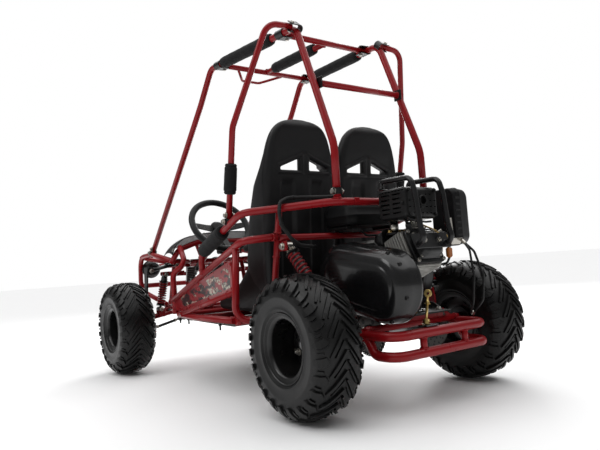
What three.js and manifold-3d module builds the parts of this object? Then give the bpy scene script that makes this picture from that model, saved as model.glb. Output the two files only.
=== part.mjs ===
// Off road go kart, two seats, single cylinder engine on a rear swing arm.
// Millimetres, +Z up. +X is the kart's left, -Y is its front, +Y its rear.
// Points are written from the rear axle (y = 0, ground z = 0); the whole model is then moved along Y by SHIFT_Y.
import * as THREE from 'three';
import { mergeVertices } from 'three/addons/utils/BufferGeometryUtils.js';
import Module from 'manifold-3d';
const wasm = await Module();
wasm.setup();

// ---- driving dimensions ----
const TYRE_R = 188, TYRE_W = 138;            // 145/70-6 tyre over its lugs
const REAR_TRACK = 649, FRONT_TRACK = 784;   // wheel centre to wheel centre
const WHEELBASE = 1186;
const AXLE_Z = 188;
const R_MAIN = 11.1;                         // 22 mm frame tube
const R_MID = 9.5;                           // 19 mm tube
const R_BUMP = 12.7;                         // 25 mm bumper tube
const GAP = 0.35;
const FY = -WHEELBASE;
const KINGPIN_X = 313;
const ARM_IN = [184, 238], ARM_OUT = [288, 214];     // lower arm: x, z of its two pivots
const ARM_UP = 202, ARM_DX = -8;                     // upper arm: this much higher and further in
const RACK = [-1110, 205];                           // steering rack: y, z
const SWING = [-265, 238];                           // swing arm pivot: y, z
const CRANK = [-20, 352], JACK = [125, 340];         // crankshaft and jackshaft: y, z
const SHIFT_Y = 627.3;
const COL = [0, -0.8331, -0.5531];                    // steering column direction, down and forward
const WHEEL_C = [130, -788, 575];                    // middle of the steering wheel ring

// ---- solids ----
const V = (a) => new THREE.Vector3(a[0], a[1], a[2]);
function toSolid(g) {
  let geo = g.index ? g.clone() : g.clone();
  for (const n of Object.keys(geo.attributes)) if (n !== 'position') geo.deleteAttribute(n);
  geo = mergeVertices(geo, 1e-4);
  const m = new wasm.Manifold(new wasm.Mesh({ numProp: 3, vertProperties: new Float32Array(geo.attributes.position.array), triVerts: new Uint32Array(geo.index.array) }));
  return m;
}
function toGeometry(m) {
  const k = m.getMesh();
  const g = new THREE.BufferGeometry();
  const p = new Float32Array((k.vertProperties.length / k.numProp) * 3);
  for (let i = 0; i < p.length / 3; i++) for (let j = 0; j < 3; j++) p[3 * i + j] = k.vertProperties[i * k.numProp + j];
  g.setAttribute('position', new THREE.BufferAttribute(p, 3));
  g.setIndex(new THREE.BufferAttribute(new Uint32Array(k.triVerts), 1));
  g.computeVertexNormals();
  return g;
}
const join = (...l) => l.flat().reduce((a, b) => a.add(b));
const cut = (a, ...l) => l.flat().reduce((x, b) => x.subtract(b), a);

// a bent tube's centre line: straight runs with rounded corners, given by its exact corner points
class BentPath extends THREE.Curve {
  constructor(pts, bend, step = 20) {
    super();
    const P = pts.map((p) => V(p)), out = [], tan = [];
    const bends = Array.isArray(bend) ? bend : P.map(() => bend);
    for (let i = 0; i < P.length; i++) {
      if (i === 0) { out.push(P[0]); tan.push(P[1].clone().sub(P[0]).normalize()); continue; }
      if (i === P.length - 1) { out.push(P[i]); tan.push(P[i].clone().sub(P[i - 1]).normalize()); continue; }
      const a = P[i].clone().sub(P[i - 1]), b = P[i + 1].clone().sub(P[i]);
      const la = a.length(), lb = b.length(); a.normalize(); b.normalize();
      const ang = Math.acos(THREE.MathUtils.clamp(a.dot(b), -1, 1));
      let r = bends[i];
      let d = r * Math.tan(ang / 2);
      const dmax = Math.min(la, lb) * 0.49;
      if (d > dmax) { d = dmax; r = d / Math.tan(ang / 2); }
      const n = Math.max(1, Math.round(THREE.MathUtils.radToDeg(ang) / step));
      const s = P[i].clone().addScaledVector(a, -d);
      const inward = b.clone().sub(a).normalize();
      const c = P[i].clone().addScaledVector(inward, r / Math.cos(ang / 2));
      const ax = a.clone().cross(b).normalize();
      for (let k = 0; k <= n; k++) {
        const q = ang * k / n;
        out.push(s.clone().sub(c).applyAxisAngle(ax, q).add(c));
        tan.push(a.clone().applyAxisAngle(ax, q));
      }
    }
    this.out = out; this.tan = tan;
  }
  get steps() { return this.out.length - 1; }
  getPoint(t) { return this.out[Math.round(t * this.steps)].clone(); }
  getPointAt(u) { return this.getPoint(u); }
  getTangentAt(u) { return this.tan[Math.round(u * this.steps)].clone(); }
}
function ngon(r, sides, turn = 0) {
  const pts = [];
  for (let i = 0; i < sides; i++) { const a = turn + 2 * Math.PI * i / sides; pts.push(new THREE.Vector2(r * Math.cos(a), r * Math.sin(a))); }
  return new THREE.Shape(pts);
}
function tube(pts, r, bend = 60, sides = 7, step = 45) {
  const path = new BentPath(pts, bend, step);
  return toSolid(new THREE.ExtrudeGeometry(ngon(r, sides), { steps: path.steps, extrudePath: path, bevelEnabled: false }));
}
const rod = (a, b, r, sides = 6) => tube([a, b], r, 1, sides);
function box(c, s, rot = [0, 0, 0]) {
  const g = new THREE.BoxGeometry(s[0], s[1], s[2]);
  const m = new THREE.Matrix4().makeRotationFromEuler(new THREE.Euler(...rot)).setPosition(V(c));
  return toSolid(g.applyMatrix4(m));
}
// a turned part: profile of [radius, distance along axis], about the line from c along axis
function turned(profile, c, axis, segs = 20, turn = 0) {
  const closed = profile[0][0] > 1e-6 ? [...profile, profile[0]] : profile;
  const g = new THREE.LatheGeometry(closed.map((p) => new THREE.Vector2(p[0], p[1])), segs, turn);
  const q = new THREE.Quaternion().setFromUnitVectors(new THREE.Vector3(0, 1, 0), V(axis).normalize());
  g.applyMatrix4(new THREE.Matrix4().compose(V(c), q, new THREE.Vector3(1, 1, 1)));
  let m = toSolid(g);
  if (m.volume() < 0) { flip(g); m = toSolid(g); }
  return m;
}
function flip(g) { const a = g.index.array; for (let i = 0; i < a.length; i += 3) { const t = a[i]; a[i] = a[i + 1]; a[i + 1] = t; } }
const ring = (c, axis, ro, ri, h, segs = 16) => turned([[ri, -h / 2], [ro, -h / 2], [ro, h / 2], [ri, h / 2]], c, axis, segs);
const drum = (c, axis, r, h, segs = 16) => turned([[0, -h / 2], [r, -h / 2], [r, h / 2], [0, h / 2]], c, axis, segs);
// a plate: outline points [u, v] in the plane through c with directions du and dv, thickness along du x dv
function plate(outline, c, du, dv, thick, holes = []) {
  const s = new THREE.Shape(outline.map((p) => new THREE.Vector2(p[0], p[1])));
  for (const h of holes) s.holes.push(new THREE.Path(h.map((p) => new THREE.Vector2(p[0], p[1]))));
  const g = new THREE.ExtrudeGeometry(s, { depth: thick, bevelEnabled: false, curveSegments: 6 });
  g.translate(0, 0, -thick / 2);
  const x = V(du).normalize(), y = V(dv).normalize(), z = x.clone().cross(y);
  const m = new THREE.Matrix4().makeBasis(x, y, z).setPosition(V(c));
  return toSolid(g.applyMatrix4(m));
}

// ---- scene ----
const kart = new THREE.Group();
kart.position.set(0, SHIFT_Y, 0);
const paint = (color, roughness = 0.4, metalness = 0.1) => new THREE.MeshStandardMaterial({ color, roughness, metalness });
const RED = () => paint(0x9e2226, 0.35, 0.2), BLACK = () => paint(0x161616, 0.5, 0.1), FOAM = () => paint(0x1c1c1e, 0.95, 0), RUBBER = () => paint(0x151515, 0.85, 0);
const STEEL = () => paint(0xb9bcc0, 0.35, 0.9), ALU = () => paint(0x9a9a96, 0.5, 0.8), FABRIC = () => paint(0x202226, 0.9, 0), PLASTIC = () => paint(0x1b1c1e, 0.45, 0);
function add(name, solid, material) {
  if (solid.volume() < 0) throw new Error(name + ' is inside out');
  const m = new THREE.Mesh(toGeometry(solid), material);
  m.name = name;
  kart.add(m);
}

// ---- frame tubes ----
const lowerRail = (s, r = R_MAIN) => tube([[s * 284, -956, 284], [s * 361, -219, 476], [s * 281, -146, 481]], r, [0, 55, 0], 6);
const upperLoop = (r = R_MAIN) => tube([[331, -553, 386], [331, -553, 458], [360, -215, 557], [186, 8, 563], [-186, 8, 563], [-360, -215, 557], [-331, -553, 458], [-331, -553, 386]], r, [0, 45, 75, 70, 70, 75, 45, 0]);
const rearPost = (s, r = R_MID) => rod([s * 283, -130, 556], [s * 262, -236, 236], r);
const seatPost = (s, r = R_MAIN) => tube([[s * 356, -266, 458], [s * 352, -302, 242], [s * 258, -240, 240]], r, [0, 42, 0], 6);
const floorRail = (s, r = R_MAIN) => tube([[s * 352, -306, 243], [s * 318, -621, 238], [s * 288, -870, 239], [s * 158, -1075, 236], [s * 158, -1330, 236]], r, [0, 0, 40, 60, 0], 6);
const bumperSide = (s, r = R_MAIN) => tube([[s * 252, -976, 446], [s * 232, -1270, 491], [s * 222, -1452, 486], [s * 214, -1488, 330], [s * 150, -1312, 254]], r, [0, 60, 70, 60, 0], 6);
const hoopFoot = (s, r = R_MAIN) => tube([[s * 286, -908, 240], [s * 284, -922, 398], [s * 256, -860, 432], [s * 238, -944, 502]], r, [0, 34, 30, 0], 6);
const dashHoop = (r = R_MAIN) => tube([[262, -985, 440], [238, -962, 492], [150, -962, 522], [-150, -962, 522], [-238, -962, 492], [-262, -985, 440]], r, [0, 40, 80, 80, 40, 0], 6);

{
  const parts = [];
  for (const s of [1, -1]) {
    parts.push(lowerRail(s), rearPost(s), seatPost(s), floorRail(s), rod([s * 298, -836, 240], [s * 352, -295, 330], R_MID), hoopFoot(s));
    // swing arm pivot ears, the shock's upper tab and the lower arm's two ears
    parts.push(box([s * 205, -278, 239], [6, 60, 28]));
    parts.push(box([s * 270, -146, 453], [6, 50, 28]));
    for (const y of [FY - 66, FY + 66]) parts.push(box([s * 177, y, 238], [34, 5, 24]));
    parts.push(rod([s * ARM_IN[0], FY - 67, ARM_IN[1]], [s * ARM_IN[0], FY + 67, ARM_IN[1]], 5, 8));
    // seat mounting rails
    parts.push(box([s * 130, -460, 249], [24, 330, 6]));
  }
  parts.push(rod([-352, -300, 240], [352, -300, 240], R_MAIN));
  parts.push(rod([-318, -621, 238], [318, -621, 238], R_MID));
  parts.push(rod([-288, -868, 239], [288, -868, 239], R_MID));
  parts.push(rod([-166, -1058, 236], [166, -1058, 236], R_MAIN));
  parts.push(rod([-158, -1322, 236], [158, -1322, 236], R_MAIN));
  parts.push(rod([-278, -152, 478], [278, -152, 478], R_MID));
  // rack housing with its pinion tower, hung under the front cross tube
  parts.push(drum([40.5, RACK[0], RACK[1]], [1, 0, 0], 13, 201, 12));
  for (const x of [-40, 60]) parts.push(box([x, -1083, 219], [14, 54, 20]));
  // pedal ears and their pivot rods
  for (const x of [66, 112, 150, 196]) parts.push(box([x, -1044, 254], [4, 40, 34]));
  parts.push(rod([65, -1035, 262], [113, -1035, 262], 4, 8), rod([149, -1035, 262], [197, -1035, 262], 4, 8));
  // rear shock pins
  for (const s of [1, -1]) parts.push(rod([s * 242, -140, 452], [s * 269, -140, 452], 5, 8));
  let m = join(parts);
  m = cut(m, upperLoop(R_MAIN + GAP), dashHoop(R_MAIN + GAP));
  for (const s of [1, -1]) m = cut(m, rod([s * 195, SWING[0], SWING[1]], [s * 215, SWING[0], SWING[1]], 6.5, 12));
  m = cut(m, drum([40.5, RACK[0], RACK[1]], [1, 0, 0], 7.7, 206, 12));
  m = cut(m, rod([130, -1104, 201], [130, -1090, 246], 8.6, 10));
  add('chassis', m, RED());
}
{
  let m = upperLoop();
  for (const s of [1, -1]) {
    m = join(m, rod([s * 352.4, -309.2, 522.2], [s * 352.6, -303.6, 547.2], R_MID), rod([s * 175, 3, 563], [s * 175, 3, 577], R_MAIN));
    // foam sleeve on the rail, beside the driver's arm
    m = join(m, rod([s * 335, -526, 464], [s * 349, -352, 516], 23, 12));
  }
  m = cut(m, lowerRail(1, R_MAIN + GAP), lowerRail(-1, R_MAIN + GAP));
  add('upper_rail_loop', m, RED());
}
{
  const parts = [dashHoop()];
  const ux = ARM_IN[0] + ARM_DX, uz = ARM_IN[1] + ARM_UP;
  for (const s of [1, -1]) {
    parts.push(bumperSide(s));
    parts.push(rod([s * 227.6, -1286.7, 484], [s * 227.01, -1268.3, 502.3], R_MAIN));
    parts.push(tube([[s * 246, -1010, 451], [s * 132, -1085, 446], [s * 132, -1290, 446]], R_MID, [0, 45, 0], 6));
    parts.push(rod([s * 132, -1108, 448], [s * 150, -1096, 250], R_MID));
    parts.push(rod([s * 132, -1262, 448], [s * 150, -1290, 250], R_MID));
    parts.push(rod([s * 132, -1286, 446], [s * 224, -1440, 484], R_MID));
    // shock hanger: an arm between the two posts and its two ears
    parts.push(rod([s * 141, -1103, 395], [s * 141, -1280, 395], 8));
    for (const y of [-1172, -1144]) parts.push(box([s * 187, y, 399], [100, 4, 20]));
    parts.push(rod([s * 222, -1174, 397], [s * 222, -1142, 397], 4.6, 8));
    // upper arm's two ears and its pivot bolt
    for (const y of [FY - 62, FY + 62]) parts.push(box([s * 158, y, uz], [56, 5, 22]));
    parts.push(rod([s * ux, FY - 63, uz], [s * ux, FY + 63, uz], 4.6, 8));
  }
  parts.push(rod([-216, -1474, 440], [216, -1474, 440], R_MAIN));
  parts.push(rod([-214, -1482, 350], [214, -1482, 350], R_MAIN));
  parts.push(rod([-132, -1285, 446], [132, -1285, 446], R_MID));
  parts.push(rod([-140, -1095, 446], [140, -1095, 446], R_MID));
  // steering column's lower bracket on the cross tube
  parts.push(rod([160, -962, 520], [141, -962, 466], 7), rod([100, -962, 520], [119, -962, 466], 7), drum([130, -962, 459.5], COL, 17, 26));
  // switch box under the middle of the dash hoop
  parts.push(box([30, -946, 490], [74, 34, 46]));
  let m = join(parts);
  m = cut(m, drum([130, -962, 459.5], COL, 10, 30), drum([30, -930, 485], [0, 1, 0], 9.4, 14));
  m = cut(m, floorRail(1, R_MAIN + GAP), floorRail(-1, R_MAIN + GAP), rod([-166, -1322, 236], [166, -1322, 236], R_MAIN + GAP));
  add('nose_frame', m, RED());
}
{
  // floor pan, under the floor tubes
  const o = [[150, -1050], [284, -862], [312, -621], [344, -330], [-344, -330], [-312, -621], [-284, -862], [-150, -1050]];
  add('floor_pan', plate(o, [0, 0, 224.2], [1, 0, 0], [0, 1, 0], 2.4), ALU());
}
// side panels, in the plane of the lower rail
for (const s of [1, -1]) {
  const A = V([s * 285, -930, 262]), B = V([s * 354, -285, 262]);
  const du = B.clone().sub(A).normalize();
  const L = B.distanceTo(A);
  const poly = [[14, -6], [14, 8], [L - 22, 162], [L - 22, 82], [70, -6]];
  add(s > 0 ? 'side_panel_left' : 'side_panel_right', cut(plate(poly, A.toArray(), du.toArray(), [0, 0, 1], 2.5), hoopFoot(s, R_MAIN + GAP)), RED());
}
{
  // nose cover: a bent sheet over the dash hoop, sloping down to the front
  const up = [[273, 472], [253, 512], [204, 543], [122, 558], [0, 563]];
  const outer = [...up.slice(0, 4).map((p) => [-p[0], p[1]]), ...[...up].reverse()];
  const inner = outer.map((p) => [p[0] * 0.988, p[1] - 3]).reverse();
  const o = [...outer, ...inner].reverse();
  const s = new THREE.Shape(o.map((p) => new THREE.Vector2(p[0], p[1])));
  const g = new THREE.ExtrudeGeometry(s, { depth: 250, bevelEnabled: false });
  g.applyMatrix4(new THREE.Matrix4().makeRotationX(Math.PI / 2));
  const p = g.attributes.position;
  for (let i = 0; i < p.count; i++) {
    const y = p.getY(i), f = -y / 250;                 // 0 at the rear edge, 1 at the front
    p.setXYZ(i, p.getX(i) * (1 - 0.24 * f), y - 945, 563 - (563 - p.getZ(i)) * (1 - 0.55 * f) - 42 * f * f);
  }
  let m = cut(toSolid(g), dashHoop(R_MAIN + GAP));
  for (const q of [1, -1]) m = cut(m, hoopFoot(q, R_MAIN + GAP), tube([[q * 246, -1010, 451], [q * 132, -1085, 446], [q * 132, -1290, 446]], R_MID + GAP, [0, 45, 0], 6));
  add('nose_cover', m, PLASTIC());
}
// ---- cage ----
const hoopPts = (s) => [[s * 227, -1268, 502.6], [s * 211, -735, 1032], [s * 205, -642, 1147], [s * 171, -141, 1119], [s * 173, 4, 724], [s * 175, 3, 577.4]];
const hoop = (s, r) => tube(hoopPts(s), r, [0, 150, 45, 55, 120, 0]);
const pillar = (s, r) => tube([[s * 352.6, -303.5, 547.6], [s * 354, -243, 817], [s * 273, -142, 1112], [s * 187, -141, 1118]], r, [0, 90, 48, 0]);
const roofX = (y) => 171 + (205 - 171) * (-141 - y) / 501, roofZ = (y) => 1119 + 28 * (-141 - y) / 501;
const padEnds = (s) => [s > 0 ? -560 : -532, s > 0 ? -262 : -250].map((y) => [s * roofX(y), y, roofZ(y)]);
for (const s of [1, -1]) {
  let m = cut(hoop(s, R_MAIN), bumperSide(s, R_MAIN + GAP));
  const [a, b] = padEnds(s);
  m = join(m, rod(a, b, 19.5, 10));
  add(s > 0 ? 'cage_hoop_left' : 'cage_hoop_right', m, RED());
}
for (const s of [1, -1]) {
  let m = pillar(s, R_MID);
  m = join(m, rod([s * 353.1, -286.5, 622], [s * 353.6, -266.5, 712], 19, 10));
  m = cut(m, hoop(s, R_MAIN + GAP));
  add(s > 0 ? 'mid_pillar_left' : 'mid_pillar_right', m, RED());
}
{
  const E = -585, D = -212;
  const parts = [];
  parts.push(rod([-roofX(E), E, roofZ(E)], [roofX(E), E, roofZ(E)], R_MID), rod([-roofX(D), D, roofZ(D)], [roofX(D), D, roofZ(D)], R_MID));
  parts.push(rod([0, E, roofZ(E)], [0, D, roofZ(D)], R_MID));
  parts.push(rod([0, E + 60, roofZ(E + 60)], [0, D - 60, roofZ(D - 60)], 19, 10));
  parts.push(tube([[124, E, roofZ(E)], [56, E - 89, roofZ(E) - 12.5], [-20, E - 89, roofZ(E) - 12.5], [-88, E, roofZ(E)]], 5, [0, 18, 18, 0], 8));
  let m = join(parts);
  for (const s of [1, -1]) m = cut(m, hoop(s, R_MAIN + GAP), rod(...padEnds(s), 19.5 + GAP, 10));
  add('roof_frame', m, RED());
}
{
  let m = rod([-168, -60, 921], [168, -60, 921], R_MID);
  for (const s of [1, -1]) m = cut(m, hoop(s, R_MAIN + GAP));
  add('rear_brace_tube', m, RED());
}
// ---- seats ----
for (const q of [1, -1]) {
  const cx = q * 141;
  const half = [[124, 292], [135, 480], [135, 640], [130, 700], [119, 760], [102, 805], [72, 836], [38, 848]];
  const back = [...half, ...[...half].reverse().map((p) => [-p[0], p[1]])];
  const lean = [0, 0.0868, 0.99623];
  let m = plate(back.map((p) => [p[0], p[1] - 292]), [cx, -252, 292], [1, 0, 0], lean, 38);
  m = join(m, plate([[-124, 0], [124, 0], [129, 300], [102, 376], [-102, 376], [-129, 300]], [cx, -246, 279], [1, 0, 0], [0, -1, 0], 40));
  for (const e of [1, -1]) {
    const w = [[-258, 286], [-590, 286], [-600, 318], [-452, 345], [-374, 420], [-336, 560], [-300, 650], [-250, 706]];
    m = join(m, plate(w.map((p) => [-p[0], p[1]]), [cx + e * 121, 0, 0], [0, -1, 0], [0, 0, 1], 24));
  }
  // harness holes: low at the outer end, tall at the middle bar
  for (const e of [1, -1]) {
    const o = [[17, 688], [90, 688], [90, 696], [17, 726]].map((p) => [e * p[0], p[1]]);
    m = cut(m, plate(e > 0 ? o : o.reverse(), [q * 130, -225, 0], [1, 0, 0], [0, 0, 1], 90));
  }
  add(q > 0 ? 'seat_left' : 'seat_right', m, FABRIC());
}
// ---- wiring loom, along the rear cross tube and down the left post ----
add('wiring_loom', tube([[150, -30, 583], [172, -42, 583], [206, -90, 588], [262, -114, 589], [297, -103, 574], [304, -99, 545], [296, -102, 508], [268, -98, 470], [236, -106, 452], [178, -114, 446]], 5.5, [0, 20, 30, 25, 20, 25, 25, 25, 25, 0], 6, 45), BLACK());
// ---- controls ----
add('kill_button', join(drum([30, -926, 485], [0, 1, 0], 8.5, 14, 16), drum([30, -918.5, 485], [0, 1, 0], 8.5, 3, 16)), paint(0xc0201c, 0.4));
for (const [name, x, w] of [['brake_pedal', 89, 34], ['throttle_pedal', 173, 34]]) {
  let m = join(drum([x, -1035, 262], [1, 0, 0], 9, 36, 12), rod([x, -1031, 264], [x, -1002, 376], 6.5, 8), box([x, -999, 392], [w + 6, 7, 62], [-0.25, 0, 0]));
  m = cut(m, drum([x, -1035, 262], [1, 0, 0], 4.5, 40, 12));
  add(name, m, STEEL());
}
const along = (p, d, t) => [p[0] + d[0] * t, p[1] + d[1] * t, p[2] + d[2] * t];
{
  const g = new THREE.TorusGeometry(117, 13, 7, 24);
  const B = new THREE.Matrix4().makeBasis(new THREE.Vector3(1, 0, 0), new THREE.Vector3(0, -COL[2] * -1, -COL[1]), V(COL)).setPosition(V(WHEEL_C));
  const w = [0, COL[2], -COL[1]];                     // ring's upward direction
  g.applyMatrix4(new THREE.Matrix4().makeBasis(new THREE.Vector3(1, 0, 0), V(w), V(COL)).setPosition(V(WHEEL_C)));
  let m = toSolid(g); if (m.volume() < 0) { flip(g); m = toSolid(g); }
  const hub = along(WHEEL_C, COL, 24);
  m = join(m, drum(hub, COL, 34, 14, 18));
  for (const a of [0, 180, 270]) {
    const c = Math.cos(a * Math.PI / 180), k = Math.sin(a * Math.PI / 180);
    const dir = [c, w[1] * k, w[2] * k];
    const p = along(hub, dir, 25), e = along(WHEEL_C, dir, 112);
    const du = V(e).sub(V(p)).normalize().toArray();
    const side = V(COL).cross(V(dir)).normalize().toArray();
    m = join(m, plate([[0, -18], [V(e).distanceTo(V(p)), -13], [V(e).distanceTo(V(p)), 13], [0, 18]], p, du, side, 4));
  }
  add('steering_wheel', m, BLACK());
  add('steering_column', join(rod(along(WHEEL_C, COL, 31.5), along(WHEEL_C, COL, 300), 9.5, 12), drum(along(WHEEL_C, COL, 36), COL, 24, 8, 14), drum(along(WHEEL_C, COL, 296), COL, 13, 16, 12)), STEEL());
  const top = along(WHEEL_C, COL, 322);
  add('steering_lower_shaft', join(rod(top, [130, -1100, 214], 6.5, 10), drum(top, V([130, -1100, 214]).sub(V(top)).toArray(), 11, 18, 12)), STEEL());
}
// ---- steering rack and front suspension ----
add('steering_rack', drum([0, RACK[0], RACK[1]], [1, 0, 0], 7.2, 342, 12), STEEL());
const dx = ARM_OUT[0] - ARM_IN[0], dz = ARM_OUT[1] - ARM_IN[1];
for (const q of [1, -1]) {
  const side = q > 0 ? 'left' : 'right';
  const TIE = [KINGPIN_X - 12, RACK[1] + dz * (KINGPIN_X - 12 - ARM_IN[0]) / dx];
  add('tie_rod_' + side, join(drum([q * 184, RACK[0], RACK[1]], [0, 1, 0], 10, 16, 12), rod([q * 186, RACK[0], RACK[1] - 0.5], [q * TIE[0], RACK[0], TIE[1]], 5.5, 8), drum([q * TIE[0], RACK[0], TIE[1] - 1], [0, 0, 1], 10, 14, 12)), STEEL());
  {
    let m = [];
    for (const e of [1, -1]) {
      m.push(drum([q * ARM_IN[0], FY + e * 52, ARM_IN[1]], [0, 1, 0], 11, 20, 10), rod([q * (ARM_IN[0] + 4), FY + e * 51, ARM_IN[1] - 1], [q * (ARM_OUT[0] - 8), FY + e * 9, ARM_OUT[1] + 2], 8));
    }
    m.push(drum([q * ARM_OUT[0], FY, ARM_OUT[1]], [0, 1, 0], 11, 37, 10));
    m.push(rod([q * (ARM_IN[0] + 36), FY - 38, 230], [q * (ARM_IN[0] + 36), FY + 38, 230], 6));
    for (const y of [-1173, -1143]) m.push(box([q * 250, y, 238], [26, 4, 40]));
    m.push(rod([q * 230, -1172, 228], [q * 266, -1172, 219], 6), rod([q * 252, -1174, 251], [q * 252, -1142, 251], 3.6, 8));
    let b = join(m);
    for (const e of [1, -1]) b = cut(b, drum([q * ARM_IN[0], FY + e * 52, ARM_IN[1]], [0, 1, 0], 5.6, 26, 8));
    b = cut(b, drum([q * ARM_OUT[0], FY, ARM_OUT[1]], [0, 1, 0], 5.6, 60, 8));
    add('lower_arm_' + side, b, RED());
  }
  {
    const ix = ARM_IN[0] + ARM_DX, iz = ARM_IN[1] + ARM_UP, ox = ARM_OUT[0] + ARM_DX, oz = ARM_OUT[1] + ARM_UP;
    let m = [];
    for (const e of [1, -1]) m.push(drum([q * ix, FY + e * 48, iz], [0, 1, 0], 10, 20, 10), rod([q * (ix + 4), FY + e * 47, iz - 1], [q * (ox - 8), FY + e * 8, oz + 2], 7));
    m.push(drum([q * ox, FY, oz], [0, 1, 0], 10.5, 37, 10));
    let b = join(m);
    for (const e of [1, -1]) b = cut(b, drum([q * ix, FY + e * 48, iz], [0, 1, 0], 5.2, 26, 8));
    b = cut(b, drum([q * ox, FY, oz], [0, 1, 0], 5.6, 60, 8));
    add('upper_arm_' + side, b, RED());
  }
  {
    // carrier: upright between the two arms, with the kingpin yoke at its foot
    const prof = [[300, 219.2], [306, 219.2], [306, 226], [297, 432], [291, 432]];
    let m = plate(prof.map((p) => [p[0] * q, p[1]]), [0, FY, 0], [1, 0, 0], [0, 0, 1], 40);
    if (m.volume() < 0) m = plate(prof.map((p) => [p[0] * q, p[1]]).reverse(), [0, FY, 0], [1, 0, 0], [0, 0, 1], 40);
    const parts = [m];
    for (const e of [1, -1]) {
      parts.push(box([q * 292, FY + e * 22, 214], [28, 5, 30]), box([q * 284, FY + e * 22, 416], [24, 5, 30]));
    }
    parts.push(rod([q * 288, FY - 23, 214], [q * 288, FY + 23, 214], 5, 10), rod([q * 280, FY - 23, 416], [q * 280, FY + 23, 416], 5, 10));
    parts.push(box([q * 314, FY - 4, 222.5], [28, 32, 7]), box([q * 314, FY - 4, 153.5], [28, 32, 7]), box([q * 312, FY - 20, 188], [22, 6, 76]));
    parts.push(drum([q * KINGPIN_X, FY, 188], [0, 0, 1], 6.6, 84, 12));
    add('kingpin_carrier_' + side, join(parts), RED());
  }
  {
    let m = join(drum([q * KINGPIN_X, FY, 188], [0, 0, 1], 12, 60, 14), rod([q * (KINGPIN_X + 8), FY, 188], [q * 392, FY, 188], 8, 12), drum([q * 329, FY, 188], [1, 0, 0], 11, 8, 12),
      rod([q * KINGPIN_X, FY + 4, 163], [q * (KINGPIN_X - 12), FY + 72, 163], 4.5, 8), drum([q * (KINGPIN_X - 12), FY + 76, 163], [0, 0, 1], 9.5, 7, 12));
    m = cut(m, drum([q * KINGPIN_X, FY, 188], [0, 0, 1], 7.1, 70, 12));
    add('knuckle_' + side, m, STEEL());
  }
  {
    // front shock: body from its upper eye, rod from its lower eye
    const T = [q * 222, -1158, 397], L = [q * 252, -1158, 251];
    const d = V(L).sub(V(T)).normalize().toArray();
    let b = join(drum(T, [0, 1, 0], 11.5, 22, 12), drum(along(T, d, 48), d, 13.5, 76, 12), drum(along(T, d, 31), d, 20, 5, 14));
    b = cut(b, drum(T, [0, 1, 0], 5.2, 30, 12), drum(along(T, d, 60), d, 5.6, 56, 12));
    add('front_shock_body_' + side, b, STEEL());
    let r = join(drum(L, [0, 1, 0], 11, 22, 12), rod(along(L, d, -8), along(L, d, -88), 4.8, 10), drum(along(L, d, -16), d, 19, 5, 14));
    r = cut(r, drum(L, [0, 1, 0], 5.4, 30, 12));
    add('front_shock_rod_' + side, r, STEEL());
  }
}
// ---- wheels ----
const SEG = 20;
const TYRE = [[77, -55.5], [93, -58.9], [112, -67.5], [140, -69], [168, -64], [188, -36], [188, 36], [168, 64], [140, 69], [112, 67.5], [93, 58.9], [77, 55.5], [86, 46], [165, 50], [165, -50], [86, -46]];
const DRUMRIM = [[22, -26], [71, -26], [71, -63], [91, -63], [91, -60.2], [75.4, -56.4], [75.4, 56.4], [91, 60.2], [91, 63], [71, 63], [71, -22], [22, -22]];
const k = 1 / Math.cos(Math.PI / SEG);
for (const [where, x, y] of [['front', FRONT_TRACK / 2, FY], ['rear', REAR_TRACK / 2, 0]]) for (const q of [1, -1]) {
  const name = where + '_NAME_' + (q > 0 ? 'left' : 'right');
  const mirror = (pr) => (q > 0 ? pr : pr.map((p) => [p[0], -p[1]]).reverse());
  let rim = turned(mirror(where === 'front' ? DRUMRIM.map((p) => (p[0] === 22 ? [16, p[1]] : p)) : DRUMRIM).map((p) => [p[0], p[1]]), [q * x, y, AXLE_Z], [1, 0, 0], 16);
  if (where === 'front') rim = cut(join(rim, drum([q * (x - 32), y, AXLE_Z], [1, 0, 0], 27, 50, 18)), drum([q * x, y, AXLE_Z], [1, 0, 0], 8.6, 200, 14));
  add(name.replace('NAME', 'rim'), rim, paint(0x3a3d40, 0.4, 0.7));
  add(name.replace('NAME', 'tyre'), turned(mirror(TYRE).map((p) => [p[0] * (p[0] > 100 ? k : 1 / Math.cos(Math.PI / SEG)), p[1]]), [q * x, y, AXLE_Z], [1, 0, 0], SEG, Math.PI / SEG), RUBBER());
}
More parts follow.
